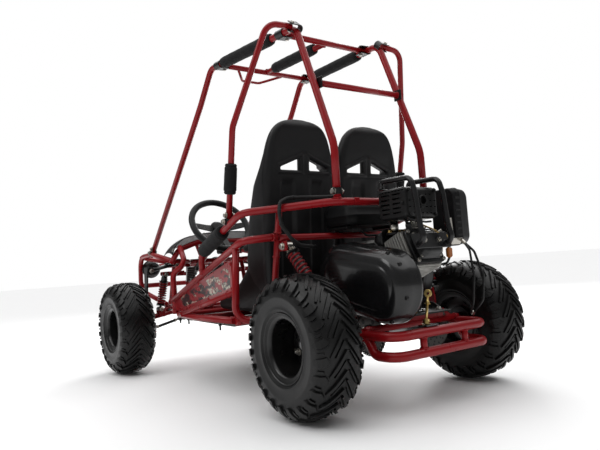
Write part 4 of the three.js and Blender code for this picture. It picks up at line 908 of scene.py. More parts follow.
for q, nm in ((1, "left"), (-1, "right")):
    cx = q * 141
    o = Build()
    zs = []
    z = 278.0
    while z < 841:
        zs.append(z); z += 5.2 if z < 640 or z > 745 else 2.8
    zs += [842.5, 845, 847, 848.2]
    o.grid([back_row(z, cx) for z in zs], True, True, True, True, SHELL)
    seat = o.make("seat_shell_" + nm, None)
    # the harness holes, and a pocket in the front face, so that the shell is thin round them
    cuts = []
    for e in (1, -1):
        k = Build()
        out = fillet([(17, 688), (91, 688), (91, 697), (17, 727)], 5)
        k.plate([(e * a, c) for a, c in (out if e > 0 else out[::-1])], (q * 130, -222, 0), (1, 0, 0), (0, 0, 1), 130, None, 0.1)
        cuts.append(k)
    k = Build()
    pocket = fillet([(-106, -36), (106, -36), (106, -4), (18, 32), (-18, 32), (-106, -4)], 9)
    k.plate(pocket, (q * 130, -257, 706), (1, 0, 0), (0, 0.0868, 0.99623), 80, None, 0.1)
    cuts.append(k)
    for k in cuts:
        cutter = k.make("cutter", None)
        md = seat.modifiers.new("hole", "BOOLEAN"); md.operation = "DIFFERENCE"; md.object = cutter; md.solver = "EXACT"
        applied(seat)
        bpy.data.objects.remove(cutter)
    for p in seat.data.polygons:
        p.use_smooth = True
    seat.data.materials.clear(); seat.data.materials.append(SHELL)
    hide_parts("seat_" + nm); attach(seat, "frame")
    o = Build()
    o.grid([pan_row(t / 56, cx) for t in range(57)], True, True, True, True, SHELL)
    pan = o.make("seat_pan_" + nm, "frame", slot="seat_cover")

    def quilt(u, v, rows, cols=1):
        """height of a stitched pad with rows of channels"""
        e = min(u, 1 - u) * 2
        f = min(v, 1 - v) * 2
        edge = (1 - (1 - min(1, e * 3.2)) ** 2.4) * (1 - (1 - min(1, f * 5.0)) ** 2.4)
        g = abs(math.sin(math.pi * v * rows)) ** 0.5
        return edge * (0.6 + 0.4 * g)

    def back_pad(u, v):
        z = 318 + 300 * v
        w = 66 + 4 * math.sin(math.pi * v)
        x = -w + 2 * w * u
        yc = -252 + 0.0871 * (z - 292) - 19 - 1
        return Vector((cx + x, yc, z)), Vector((0, -1, 0.07)), 17 * quilt(u, v, 6)

    def seat_pad(u, v):
        y = -300 - 296 * v
        w = 60 - 4 * v
        x = -w + 2 * w * u
        return Vector((cx + x, y, 293 - 5 * math.exp(-(x / 50) ** 2) - 1)), Vector((0, 0, 1)), 17 * quilt(u, v, 5)
    puffy("seat_back_pad_" + nm, cx, back_pad, 26, 72)
    puffy("seat_cushion_" + nm, cx, seat_pad, 26, 64)
    # screws of the shell along its foot, on the back
    o = Build()
    for x in (-84, -28, 28, 84):
        o.ringp([(0.4, 3), (4.5, 2.4), (6.5, 0.6), (6.5, 0)], (cx + x, -252 + 0.0871 * 16 + 19, 308), (0, 1, -.087), 16, ZINC)
    o.make("seat_screws_" + nm, "frame", slot="steel")

# ---------------------------------------------------------------- loom and small controls
o = Build()
LOOM = [(150, -30, 583), (172, -42, 583), (206, -90, 588), (262, -114, 589), (297, -103, 574), (304, -99, 545), (296, -102, 508), (268, -98, 470), (236, -106, 452), (178, -114, 446)]
path, tans = bent(LOOM, [0, 20, 30, 25, 20, 25, 25, 25, 25, 0], 8)
# a corrugated sleeve: rings along the line
dense = []
for a, c in zip(path, path[1:]):
    n = max(1, int((c - a).length / 1.1))
    for k in range(n):
        dense.append(a.lerp(c, k / n))
dense.append(path[-1])
rows, up = [], Vector((0, 0, 1))
u = None
for i, c in enumerate(dense):
    t = (dense[min(i + 1, len(dense) - 1)] - dense[max(i - 1, 0)]).normalized()
    if u is None:
        u = t.cross(up).normalized()
    u = (u - t * u.dot(t)).normalized(); w = t.cross(u)
    r = 5.2 + (0.45 if i % 4 < 2 else -0.35)
    rows.append([P(c + (u * math.cos(a) + w * math.sin(a)) * r) for a in [2 * math.pi * j / 14 for j in range(14)]])
o.grid(rows, True, True, True, True, RUBBER)
for k in (0.0, 0.33, 0.62, 1.0):
    i = min(len(dense) - 2, int(k * (len(dense) - 1)))
    t = (dense[i + 1] - dense[i]).normalized()
    o.ringp([(5.3, -3), (6.8, -3), (6.8, 3), (5.3, 3)], dense[i], t, 18, PLASTIC)
o.make("loom_sleeve", "frame", ["wiring_loom"], slot="rubber")

o = Build()
o.ringp([(0.4, -7), (8.2, -7), (8.2, 6.5), (10.2, 6.5), (10.4, 9), (8.6, 10.4), (0.4, 10.9)], (30, -926, 485), (0, 1, 0), 32, REDP)
o.make("stop_button", "kill_button", ["kill_button"], slot="red_plastic")
o = Build()
o.ringp([(9.9, -1), (13.5, -1), (13.5, 1.2), (9.9, 1.2)], (30, -929, 485), (0, 1, 0), 32, PLASTIC)
o.make("stop_button_bezel", "frame", slot="black_plastic")

for name, x in (("brake_pedal", 89), ("throttle_pedal", 173)):
    o = Build()
    o.ringp([(4.5, -18), (8.4, -18), (9, -17.2), (9, 17.2), (8.4, 18), (4.5, 18)], (x, -1035, 262), (1, 0, 0), 26, STEEL)
    o.tube([(x, -1031, 264), (x, -1022, 320), (x, -1002, 376)], 6.3, 60, sides=14, mat=STEEL)
    R = Matrix.Rotation(-0.25, 3, "X")
    o.box((x, -999, 392), (40, 5.2, 62), R, 2, STEEL)
    for k in range(7):
        o.box(Vector((x, -999, 392)) + R @ Vector((0, 3.4, -24 + k * 8)), (34, 2.4, 3.4), R, 0.8, RUBBER)
    o.weld((x, -1030.5, 270), (0, .15, .98), 6.3, STEEL, 1.8)
    o.make(name + "_arm", name, [name], slot="steel")
    # return spring on the frame's rod
    o = Build()
    e = -1 if x < 130 else 1
    o.helix((x + e * 18.6, -1035, 262), (x + e * 20.6, -1035, 262), 7.5, 0.9, 2, ZINC)
    o.make(name + "_spring", "frame", slot="steel")

# ---------------------------------------------------------------- steering
o = Build()
W = Vector((0, COL.z, -COL.y))
# grip: a padded ring with shallow finger waves and a stitched seam on its inside
rows = []
SEGN = 120
for i in range(SEGN + 1):
    a = 2 * math.pi * i / SEGN
    d = Vector((1, 0, 0)) * math.cos(a) + W * math.sin(a)
    row = []
    for j in range(20):
        t = 2 * math.pi * j / 20
        r = 12.6 + 0.5 * math.cos(10 * a) * max(0, -math.cos(t)) - 0.9 * math.exp(-((t - math.pi) / 0.18) ** 2)
        row.append(P(WC + d * (117 + r * math.cos(t)) + COL * (r * 0.95 * math.sin(t))))
    rows.append(row)
o.grid(rows, True, False, False, True, RUBBER)
for k in range(72):
    a = 2 * math.pi * (k + .5) / 72
    d = Vector((1, 0, 0)) * math.cos(a) + W * math.sin(a)
    c = WC + d * (117 - 12.1)
    tn = Vector((1, 0, 0)) * -math.sin(a) + W * math.cos(a)
    o.tube([c + COL * 2.2 - tn * 1.1, c - COL * 2.2 + tn * 1.1], 0.7, 1, sides=6, mat=BLACK_TUBE)
hub = WC + COL * 24
o.ringp([(0.5, -7), (30, -7), (33.4, -5), (34, -3), (34, 5), (32, 7), (0.5, 7)], hub, COL, 44, DARKSTEEL)
for k in range(3):
    a = math.pi / 6 + 2 * math.pi * k / 3
    c = hub - COL * 7 + (Vector((1, 0, 0)) * math.cos(a) + W * math.sin(a)) * 20
    o.hexbolt(c, -COL, 9, 4.5, False, ZINC)
for deg in (0, 180, 270):
    a = math.radians(deg)
    d = Vector((1, 0, 0)) * math.cos(a) + W * math.sin(a)
    p0, p1 = hub + d * 25, WC + d * 108
    du = (p1 - p0).normalized(); L = (p1 - p0).length
    side = COL.cross(d).normalized()
    outl = [(0, -18), (L * .3, -15), (L, -12), (L, 12), (L * .3, 15), (0, 18)]
    o.plate(outl, p0, du, side, 4, DARKSTEEL, 1.2)
    for k in range(3):
        o.ringp([(6.5 - k, 2.4), (7.6 - k, 2.4), (7.6 - k, -2.4), (6.5 - k, -2.4)], p0 + du * (L * (0.36 + k * 0.21)), du.cross(side), 20, BLACK_TUBE)
# padded centre cover
o.ringp([(0.5, -16), (22, -15), (27, -12), (28.5, -7)], hub, COL, 40, PLASTIC)
o.ringp([(0.5, -17.2), (9, -17), (10, -16)], hub, COL, 28, PLASTIC)
o.make("steering_wheel_rim", "steering_wheel", ["steering_wheel"], slot="black_plastic")
o = Build()
c0 = lambda t: WC + COL * t
o.tube([c0(31.5), c0(300)], 9.4, 1, sides=24, mat=DARKSTEEL)
o.ringp([(9, -4), (22, -4), (24, -2.6), (24, 2.6), (22, 4), (9, 4)], c0(36), COL, 32, STEEL)
o.ringp([(9, -8), (12, -8), (13, -7), (13, 7), (12, 8), (9, 8)], c0(296), COL, 26, STEEL)
o.weld(c0(42.5), COL, 9.4, DARKSTEEL, 2)
o.ringp([(9.4, -4), (14, -4), (14, 4), (9.4, 4)], c0(168), COL, 26, STEEL)
o.make("column_shaft", "steering_wheel", ["steering_column"], slot="steel")
o = Build()
top = c0(322); bot = Vector((130, -1100, 214)); dd = (bot - top).normalized()
o.tube([top, bot], 6.4, 1, sides=20, mat=STEEL)
o.ringp([(0.5, -9), (10, -9), (11, -8), (11, 8), (10, 9), (0.5, 9)], top, dd, 26, DARKSTEEL)
for k in range(5):
    o.ringp([(11, -1), (12.2, -0.3), (12.2, 0.3), (11, 1)], top + dd * (-6 + k * 3), dd, 26, RUBBER)
o.ringp([(6.4, -10), (9, -10), (9, 10), (6.4, 10)], top + dd * 150, dd, 22, STEEL)
o.make("lower_shaft", "steering_lower_shaft", ["steering_lower_shaft"], slot="steel")
o = Build()
o.tube([(-171, -1110, 205), (171, -1110, 205)], 7.1, 1, sides=24, mat=STEEL)
for s in (1, -1):
    o.ringp([(7, -3), (9.6, -3), (9.6, 3), (7, 3)], (s * 166, -1110, 205), (1, 0, 0), 6, ZINC)
o.make("rack_bar", "steering_rack", ["steering_rack"], slot="steel")

# ---------------------------------------------------------------- front suspension
AIN, AOUT = (184, 238), (288, 214)


def bush(o, c, axis, r, h, bore, m):
    o.ringp([(bore, -h / 2), (r - 1, -h / 2), (r, -h / 2 + 1), (r, h / 2 - 1), (r - 1, h / 2), (bore, h / 2), (bore, -h / 2)], c, axis, 26, m)


for q, nm in ((1, "left"), (-1, "right")):
    V3 = lambda x, y, z: Vector((q * x, y, z))
    tz = 205 + (214 - 238) * (301 - 184) / (288 - 184)
    o = Build()
    bush(o, V3(184, -1110, 205), (0, 1, 0), 10, 15.6, 3.5, STEEL)
    o.lathe([(3.4, -8.6), (6.8, -7.6), (7.6, 0), (6.8, 7.6), (3.4, 8.6)], V3(184, -1110, 205), (0, 1, 0), 22, ZINC)
    o.tube([V3(193, -1110, 203), V3(214, -1110, 198.1)], 4.6, 1, sides=16, mat=ZINC)
    o.tube([V3(210, -1110, 199), V3(282, -1110, 182.3)], 5.6, 1, sides=18, mat=DARKSTEEL)
    o.tube([V3(280, -1110, 182.8), V3(293, -1110, 179.8)], 4.4, 1, sides=16, mat=ZINC)
    for t in (0.0, 1.0):
        c = V3(207, -1110, 199.7) if t == 0 else V3(285, -1110, 181.7)
        o.ringp([(3, -3), (7.6, -3), (7.6, 3), (3, 3)], c, V3(.974, 0, -.227), 6, ZINC)
    bush(o, V3(301, -1110, tz - 1), (0, 0, 1), 10, 13.6, 0.6, STEEL)
    o.ringp([(9.4, -9.5), (6.4, -11.5), (4.6, -12.2)], V3(301, -1110, tz + 0.6), (0, 0, 1), 22, RUBBER)
    o.ringp([(0.4, 2.2), (6, 1.4), (8, 0)], V3(301, -1110, tz + 6), (0, 0, 1), 22, ZINC)
    o.make("tie_rod_bar_" + nm, "tie_rod_" + nm, ["tie_rod_" + nm], slot="steel")

    o = Build()
    for e in (1, -1):
        bush(o, V3(184, FY + e * 52, 238), (0, 1, 0), 11, 20, 5.6, RED)
        bush(o, V3(184, FY + e * 52, 238), (0, 1, 0), 7.4, 21.6, 5.4, RUBBER)
        o.tube([V3(190, FY + e * 50.5, 236.5), V3(278, FY + e * 10, 216.3)], 8, 1, sides=18, mat=RED)
        o.weld(V3(196.5, FY + e * 47.5, 235), V3(88, -e * 40, -20), 8, RED, 2)
        o.weld(V3(275, FY + e * 11.5, 217), V3(88, -e * 40, -20), 8, RED, 2)
    bush(o, V3(288, FY, 214), (0, 1, 0), 11, 37, 5.6, RED)
    o.tube([V3(220, FY - 38, 230), V3(220, FY + 38, 230)], 6, 1, sides=14, mat=RED)
    for y in (-1173, -1143):
        o.plate([(-13, -20), (13, -20), (13, 14), (8, 20), (-6, 20), (-13, 8)], V3(250, y, 238), (q, 0, 0), (0, 0, 1), 4, RED)
    o.tube([V3(230, -1172, 228), V3(266, -1172, 219)], 6, 1, sides=12, mat=RED)
    o.tube([V3(252, -1174, 251), V3(252, -1142, 251)], 3.6, 1, sides=12, mat=ZINC)
    for e, y in ((-1, -1175.4), (1, -1140.6)):
        o.hexbolt(V3(252, y, 251), (0, e, 0), 13, 5.5, mat=ZINC)
    o.make("lower_arm_tubes_" + nm, "lower_arm_" + nm, ["lower_arm_" + nm], slot="frame_paint")

    o = Build()
    for e in (1, -1):
        bush(o, V3(176, FY + e * 48, 440), (0, 1, 0), 10, 20, 5.2, BLACK_TUBE)
        bush(o, V3(176, FY + e * 48, 440), (0, 1, 0), 7, 21.4, 5.0, RUBBER)
        o.tube([V3(182, FY + e * 46.4, 438.4), V3(271, FY + e * 9, 418.3)], 7, 1, sides=18, mat=BLACK_TUBE)
        o.weld(V3(188, FY + e * 43.8, 437.2), V3(89, -e * 37, -20), 7, BLACK_TUBE, 1.9)
        o.weld(V3(268.5, FY + e * 10, 418.9), V3(89, -e * 37, -20), 7, BLACK_TUBE, 1.9)
    bush(o, V3(280, FY, 416), (0, 1, 0), 10.5, 37, 5.6, BLACK_TUBE)
    o.make("upper_arm_tubes_" + nm, "upper_arm_" + nm, ["upper_arm_" + nm], slot="frame_paint")

    o = Build()
    prof = [(300, 219.2), (306, 219.2), (306, 226), (297, 432), (291, 432)]
    # upright plate, waisted between its two ends
    rows = []
    for k in range(17):
        f = k / 16
        z = 219.4 + (432 - 219.4) * f
        xo = 306 + (297 - 306) * max(0, (z - 226) / 206); xi = xo - 6
        hw = 20 - 4.5 * math.sin(math.pi * f) ** 1.5
        c = 1.0
        rows.append([P(V3(xi, FY - hw + c, z)), P(V3(xi, FY + hw - c, z)), P(V3(xi + c, FY + hw, z)), P(V3(xo - c, FY + hw, z)), P(V3(xo, FY + hw - c, z)), P(V3(xo, FY - hw + c, z)), P(V3(xo - c, FY - hw, z)), P(V3(xi + c, FY - hw, z))])
    o.grid(rows, True, True, True, False, BLACK_TUBE)
    for z in (300, 345):
        o.ringp([(8, -3.6), (10.5, -3.6), (10.5, 3.6), (8, 3.6)], V3(300 - 0.0437 * (z - 226) + 3, FY, z), (1, 0, 0.04), 24, BLACK_TUBE)
    for e in (1, -1):
        o.box(V3(292, FY + e * 22, 214), (28, 5, 30), ch=1.4, mat=BLACK_TUBE)
        o.box(V3(284, FY + e * 22, 416), (24, 5, 30), ch=1.4, mat=BLACK_TUBE)
        o.hexbolt(V3(288, FY + e * 24.6, 214), (0, e, 0), 14, 6, mat=ZINC)
        o.hexbolt(V3(280, FY + e * 24.6, 416), (0, e, 0), 14, 6, mat=ZINC)
    o.tube([V3(288, FY - 23, 214), V3(288, FY + 23, 214)], 5, 1, sides=14, mat=ZINC)
    o.tube([V3(280, FY - 23, 416), V3(280, FY + 23, 416)], 5, 1, sides=14, mat=ZINC)
    o.box(V3(314, FY - 4, 222.5), (28, 32, 7), ch=2, mat=BLACK_TUBE)
    o.box(V3(314, FY - 4, 153.5), (28, 32, 7), ch=2, mat=BLACK_TUBE)
    o.box(V3(312, FY - 20, 188), (22, 6, 76), ch=1.5, mat=BLACK_TUBE)
    o.tube([V3(313, FY, 146), V3(313, FY, 230)], 6.5, 1, sides=18, mat=ZINC)
    o.hexbolt(V3(313, FY, 226), (0, 0, 1), 19, 7, mat=ZINC)
    o.hexbolt(V3(313, FY, 150), (0, 0, -1), 19, 8, mat=ZINC)
    o.make("carrier_" + nm, "kingpin_carrier_" + nm, ["kingpin_carrier_" + nm], slot="frame_paint")

    o = Build()
    bush(o, V3(313, FY, 188), (0, 0, 1), 12, 60, 7.1, RED)
    o.tube([V3(322, FY, 188), V3(392, FY, 188)], 7.9, 1, sides=22, mat=STEEL)
    o.ringp([(7, -4), (11, -4), (11, 4), (7, 4)], V3(329, FY, 188), (1, 0, 0), 26, STEEL)
    o.tube([V3(313, FY + 10, 163), V3(308, FY + 40, 163), V3(301, FY + 70, 163)], 4.5, 30, sides=14, mat=RED)
    bush(o, V3(301, FY + 76, 163), (0, 0, 1), 9.5, 7, 3, RED)
    o.hexbolt(V3(301, FY + 76, 159.5), (0, 0, -1), 11, 5, mat=ZINC)
    o.ringp([(0.5, 0), (14, 0), (14, 2), (0.5, 2)], V3(389.9 - 0.4, FY, 188), (q, 0, 0), 24, ZINC)
    o.make("knuckle_spindle_" + nm, "knuckle_" + nm, ["knuckle_" + nm], slot="steel")

    # front shock: body, rod and its coil spring
    T, L = V3(222, -1158, 397), V3(252, -1158, 251)
    d = (L - T).normalized()
    o = Build()
    bush(o, T, (0, 1, 0), 11.5, 22, 5.2, BLACK_TUBE)
    o.ringp([(5.7, 86), (13, 86), (13.4, 84), (13.4, 14), (11, 9), (6, 8)], T, d, 30, BLACK_TUBE)
    o.ringp([(13.4, 28), (20, 28.5), (20.4, 30), (20.4, 32.6), (19, 33.6), (13.4, 33.6)], T, d, 34, DARKSTEEL)
    for k in range(6):
        o.ringp([(13.4, 16 + k * 2), (14.3, 16.7 + k * 2), (13.4, 17.4 + k * 2)], T, d, 30, STEEL)
    o.make("front_shock_tube_" + nm, "frame", ["front_shock_body_" + nm], slot="steel")
    o = Build()
    bush(o, L, (0, 1, 0), 11, 22, 5.4, CAST)
    o.tube([L - d * 8, L - d * 88], 4.7, 1, sides=18, mat=STEEL)
    o.ringp([(4.8, -2.5), (17.5, -2.5), (19, -1.5), (19, 1.5), (17, 2.5), (4.8, 2.5)], L - d * 16, d, 34, DARKSTEEL)
    o.ringp([(4.8, -3), (9.5, -6), (4.8, -12)], L - d * 19, d, 26, RUBBER)
    o.make("front_shock_stem_" + nm, "front_shock_rod_" + nm, ["front_shock_rod_" + nm], slot="steel")
    o = Build()
    lo, hi = L - d * 18.8, T + d * 34
    o.helix(lo, hi, 18.4, 2.9, 9.6, RED_SPRING, sides=12, per=24)
    sp = o.make("front_spring_" + nm, None, slot="frame_paint")
    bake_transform(sp)


# ---------------------------------------------------------------- wheels
TYRE_PROF = [(77, -50), (79, -56.5), (84, -59.5), (92, -61), (97, -66.5), (99.5, -67.2), (102, -66.4), (112, -67.4), (126, -68.6), (129, -69.3), (132, -68.7), (145, -67.8), (153, -65.4), (160, -61), (167, -55.2), (172.4, -48), (176.6, -38), (178.6, -26), (179.6, -12), (180, 0)]


def tyre_r(t):
    t = abs(t)
    return interp([(0, 180), (12, 179.6), (26, 178.6), (38, 176.6), (48, 172.4), (55.2, 167), (61, 160), (65.4, 153), (67.8, 145), (68.7, 132)], t)


def tyre(name, x, y, q, body, node, phase):
    o = Build()
    C = Vector((x, y, 188))
    prof = TYRE_PROF + [(r, -t) for r, t in TYRE_PROF[-2::-1]]
    o.lathe(prof, C, (q, 0, 0), 96, TYRE, caps=(False, False))
    inner = [(77, 50), (84, 46), (120, 50), (120, -50), (84, -46), (77, -50)]
    o.lathe(inner, C, (q, 0, 0), 48, TYRE, caps=(False, False))

    def S(ang, r, t):
        return P(C + Vector((q * t, r * math.cos(ang), r * math.sin(ang))))

    def rad_point(t_arc):
        """arc position measured over the crown to the shoulder: gives r and t of the carcass"""
        s = 1 if t_arc >= 0 else -1
        a = abs(t_arc)
        pts = [(0, 180), (12, 179.6), (26, 178.6), (38, 176.6), (48, 172.4), (55.2, 167), (61, 160), (65.4, 153), (67.8, 145), (68.7, 134)]
        run = 0
        for (t0, r0), (t1, r1) in zip(pts, pts[1:]):
            dl = math.hypot(t1 - t0, r1 - r0)
            if run + dl >= a:
                f = (a - run) / dl
                n = Vector((-(r1 - r0), (t1 - t0))).normalized()
                return s * (t0 + (t1 - t0) * f), r0 + (r1 - r0) * f, s * n.x, n.y
            run += dl
        return s * pts[-1][0], pts[-1][1], s, 0.1

    def lug(path, hw, h, taper=1.6):
        rows = []
        for i, (a_mm, tt, wk) in enumerate(path):
            t, r, nx, nr = rad_point(tt)
            j = min(max(i, 1), len(path) - 1)
            d = Vector((path[j][0] - path[j - 1][0], path[j][1] - path[j - 1][1])).normalized()
            pn = Vector((-d.y, d.x))
            row = []
            for side, lift, sh in ((-1, -2.0, 0), (-1, h * .85, taper * .8), (-1, h, taper), (1, h, taper), (1, h * .85, taper * .8), (1, -2.0, 0)):
                off = (hw * wk - sh) * side
                am, t2 = a_mm + pn.x * off, tt + pn.y * off
                t3, r3, nx3, nr3 = rad_point(t2)
                rr = r3 + nr3 * lift
                lim = 187.9
                row.append(S(am / 180.0 + phase, min(rr, lim), t3 + nx3 * lift))
            rows.append(row)
        o.grid(rows, True, True, True, False, TYRE)
    N = 24
    pitch = 2 * math.pi * 180 / N
    for k in range(N):
        a = k * pitch
        for e in (1, -1):
            b0 = a + (pitch / 2 if e < 0 else 0)
            # long feather from the crown to the shoulder, a thin one behind it, and a broad shoulder block
            lug([(b0, e * 1, 0.8), (b0 - 10, e * 9, 1), (b0 - 22, e * 18, 1.1), (b0 - 36, e * 28, 1.15), (b0 - 50, e * 38, 1.1), (b0 - 62, e * 46, 0.9)], 4.4, 6.6, 1.4)
            lug([(b0 - 24, e * 6, 0.7), (b0 - 36, e * 15, 1), (b0 - 50, e * 25, 1), (b0 - 63, e * 34, 0.8)], 2.6, 5.0, 1.0)
            lug([(b0 - 66, e * 51, 0.9), (b0 - 71, e * 59, 1.1), (b0 - 74, e * 67, 1.15), (b0 - 75, e * 75, 1.1), (b0 - 75, e * 84, 0.8)], 11.5, 6.6, 2.6)
            lug([(b0 - 50, e * 60, 0.8), (b0 - 52, e * 68, 1), (b0 - 52, e * 76, 0.9)], 4.6, 4.2, 1.4)
    # side ribs on both walls
    for k in range(48):
        ang = 2 * math.pi * k / 48 + phase
        for s in (1, -1):
            rows = []
            for r, t in ((136, 67.9), (143, 67.5), (149, 66.2)):
                rows.append([S(ang - .010, r, s * t), S(ang - .006, r, s * (t + 0.6)), S(ang + .006, r, s * (t + 0.6)), S(ang + .010, r, s * t)])
            o.grid(rows, True, True, True, False, TYRE)
    ob = o.make(name, body, [node], slot="tyre")
    return ob


def rim(name, x, y, q, body, node, front):
    o = Build()
    C = Vector((x, y, 188))
    X = (q, 0, 0)
    # barrel with its two lips, drawn as one turned skin, dished outboard
    o.lathe([(71, -24), (71.2, -50), (73, -55), (84, -57.5), (87.5, -58.6), (88.6, -61.4), (90.4, -63), (91, -61.5), (90, -59.5), (86, -56.6)], C, X, 72, RIM, caps=(False, False))
    o.lathe([(71, -20), (71.0, 46), (72.5, 53), (77.5, 57.4), (84, 58.4), (87.5, 59.4), (88.6, 61.6), (90.2, 63), (91, 61.6), (90, 59.8), (86, 57.4)], C, X, 72, RIM, caps=(False, False))
    o.lathe([(86, -56.6), (75.6, -54), (75.4, -30), (75.4, 40), (75.8, 54), (86, 57.4)], C, X, 72, RIM, caps=(False, False))
    # stepped disc with a raised middle
    di = 17 if front else 22.5
    o.lathe([(71.5, -22), (62, -21.6), (57, -19.5), (53, -15.5), (49, -14.4), (40, -14.4), (35, -15.8), (33, -18), (di, -18)], C, X, 72, RIM, caps=(False, False))
    o.lathe([(di, -18), (di, -26), (33, -26), (71.5, -26)], C, X, 72, RIM, caps=(False, False))
    # joint flange of the two rim halves, with its ring of bolts
    o.ringp([(58, -21), (66.5, -21), (66.5, -18.6), (58, -18.6)], C, X, 64, RIM)
    for k in range(6):
        a = 2 * math.pi * k / 6 + 0.3
        d = Vector((0, math.cos(a), math.sin(a)))
        o.hexbolt(C + Vector((q * -18.6, 0, 0)) + d * 62.5, X, 8, 4, False, ZINC)
    for k in range(4):
        a = 2 * math.pi * k / 4 + 0.5
        d = Vector((0, math.cos(a), math.sin(a)))
        o.hexbolt(C + Vector((q * -14.4, 0, 0)) + d * 45, X, 13, 6.5, True, ZINC, stud=5)
        a += math.pi / 4
        d = Vector((0, math.cos(a), math.sin(a)))
        o.ringp([(6.2, -0.6), (8.6, -0.4), (8.6, 0.6), (6.2, 0.8), (5.6, -5)], C + Vector((q * -14.6, 0, 0)) + d * 43, X, 22, RIM)
    # valve
    o.tube([C + Vector((q * -19, 0, 0)) + Vector((0, 0.5, 0.86)) * 66, C + Vector((q * 8, 0, 0)) + Vector((0, 0.5, 0.86)) * 62], 3.4, 1, sides=12, mat=RUBBER)
    if front:
        o.ringp([(17, -56.6), (25.5, -56.6), (27, -55), (27, -9), (25, -7.2), (22.5, -6.8), (22.5, -10), (8.9, -10)], C, X, 44, RIM)
        o.ringp([(8.7, -55.5), (17, -55.5)], C, X, 40, STEEL)
        o.ringp([(8.7, -10), (18, -10), (18, -5.6), (14, -5.2), (14, -2), (8.7, -2)], C, X, 36, ZINC)
    o.make(name, body, [node], slot="grey_paint")
    # cap on the hub
    o = Build()
    if front:
        o.lathe([(0.3, 3.0), (5.5, 2.4), (8.6, 0.6), (8.6, -1.6)], C, X, 32, ZINC)
        o.hexbolt(C + Vector((q * 2.2, 0, 0)), X, 14, 5, False, ZINC)
    else:
        o.ringp([(0.4, 3.0), (9.5, 3.0), (10.6, 2), (10.6, -4)], C, X, 30, STEEL)
        o.ringp([(10.6, -4), (17.5, -4), (18.6, -5.4), (18.6, -12)], C, X, 6, ZINC)
        for k in range(6):
            a = 2 * math.pi * k / 6 + .2
            o.box(C + Vector((q * -2.6, 14.2 * math.cos(a), 14.2 * math.sin(a))), (3.4, 3.6, 3.6), Matrix.Rotation(a, 3, "X"), .5, ZINC)
        o.ringp([(18.6, -17.6), (24, -17.6), (24, -14.6), (18.6, -14.2)], C, X, 36, STEEL)
    o.make(name + "_cap", body, slot="steel")


for q, nm in ((1, "left"), (-1, "right")):
    tyre("front_tyre_lugs_" + nm, q * 392, FY, q, "front_wheel_" + nm, "front_tyre_" + nm, 0.07)
    rim("front_rim_disc_" + nm, q * 392, FY, q, "front_wheel_" + nm, "front_rim_" + nm, True)
    tyre("rear_tyre_lugs_" + nm, q * 324.5, 0, q, "rear_axle", "rear_tyre_" + nm, 0.02)
    rim("rear_rim_disc_" + nm, q * 324.5, 0, q, "rear_axle", "rear_rim_" + nm, False)

# ---------------------------------------------------------------- rear axle
o = Build()
C = Vector((0, 0, 188)); X = (1, 0, 0)
o.tube([(-320, 0, 188), (320, 0, 188)], 12.4, 1, sides=28, mat=STEEL)
# sprocket with teeth; its lightening holes are not cut, they are painted shade: dark discs on both faces where the
# holes would show dark
rows = []
NT = 40
for t in (-2.5, -1.2, 1.2, 2.5):
    row = []
    for k in range(NT * 4):
        ph = k % 4
        r = (61.8, 61.8, 57.4, 57.4)[ph] - (1.4 if abs(t) > 2 and ph < 2 else 0)
        a = 2 * math.pi * (k - 0.15 * (ph in (0, 3)) + 0.15 * (ph in (1, 2))) / (NT * 4)
        row.append(P(Vector((94 + t, r * math.cos(a), 188 + r * math.sin(a)))))
    rows.append(row)
spb = len(o.v)
o.grid(rows, True, False, False, False, DISC)
for t, e in ((-2.5, -1), (2.5, 1)):
    pr = [(57.4, t), (46, t), (20, t)]
    o.lathe(pr, (94, 0, 188), X, 80, DISC, caps=(False, False))
# painted shade: a dark disc on each face in place of each lightening hole
for k in range(6):
    a = 2 * math.pi * k / 6
    c = (94, 40 * math.cos(a), 188 + 40 * math.sin(a))
    o.ringp([(0.5, 2.7), (6, 2.7), (7, 2.5)], c, X, 20, DARKSTEEL)
    o.ringp([(0.5, -2.7), (6, -2.7), (7, -2.5)], c, X, 20, DARKSTEEL)
o.ringp([(12.4, -9), (25, -9), (26, -8), (26, 8), (25, 9), (12.4, 9)], (94, 0, 188), X, 36, DARKSTEEL)
for k in range(4):
    a = 2 * math.pi * k / 4 + .4
    o.hexbolt((103, 19.5 * math.cos(a), 188 + 19.5 * math.sin(a)), X, 8, 4, False, ZINC)
# brake disc and its carrier; the drilled holes are not cut, they are painted shade: dark discs on both faces where the
# holes would show dark
o.ringp([(38, -2), (69, -2), (70, -1.4), (70, 1.4), (69, 2), (38, 2), (38, -2)], (-155, 0, 188), X, 72, DISC)
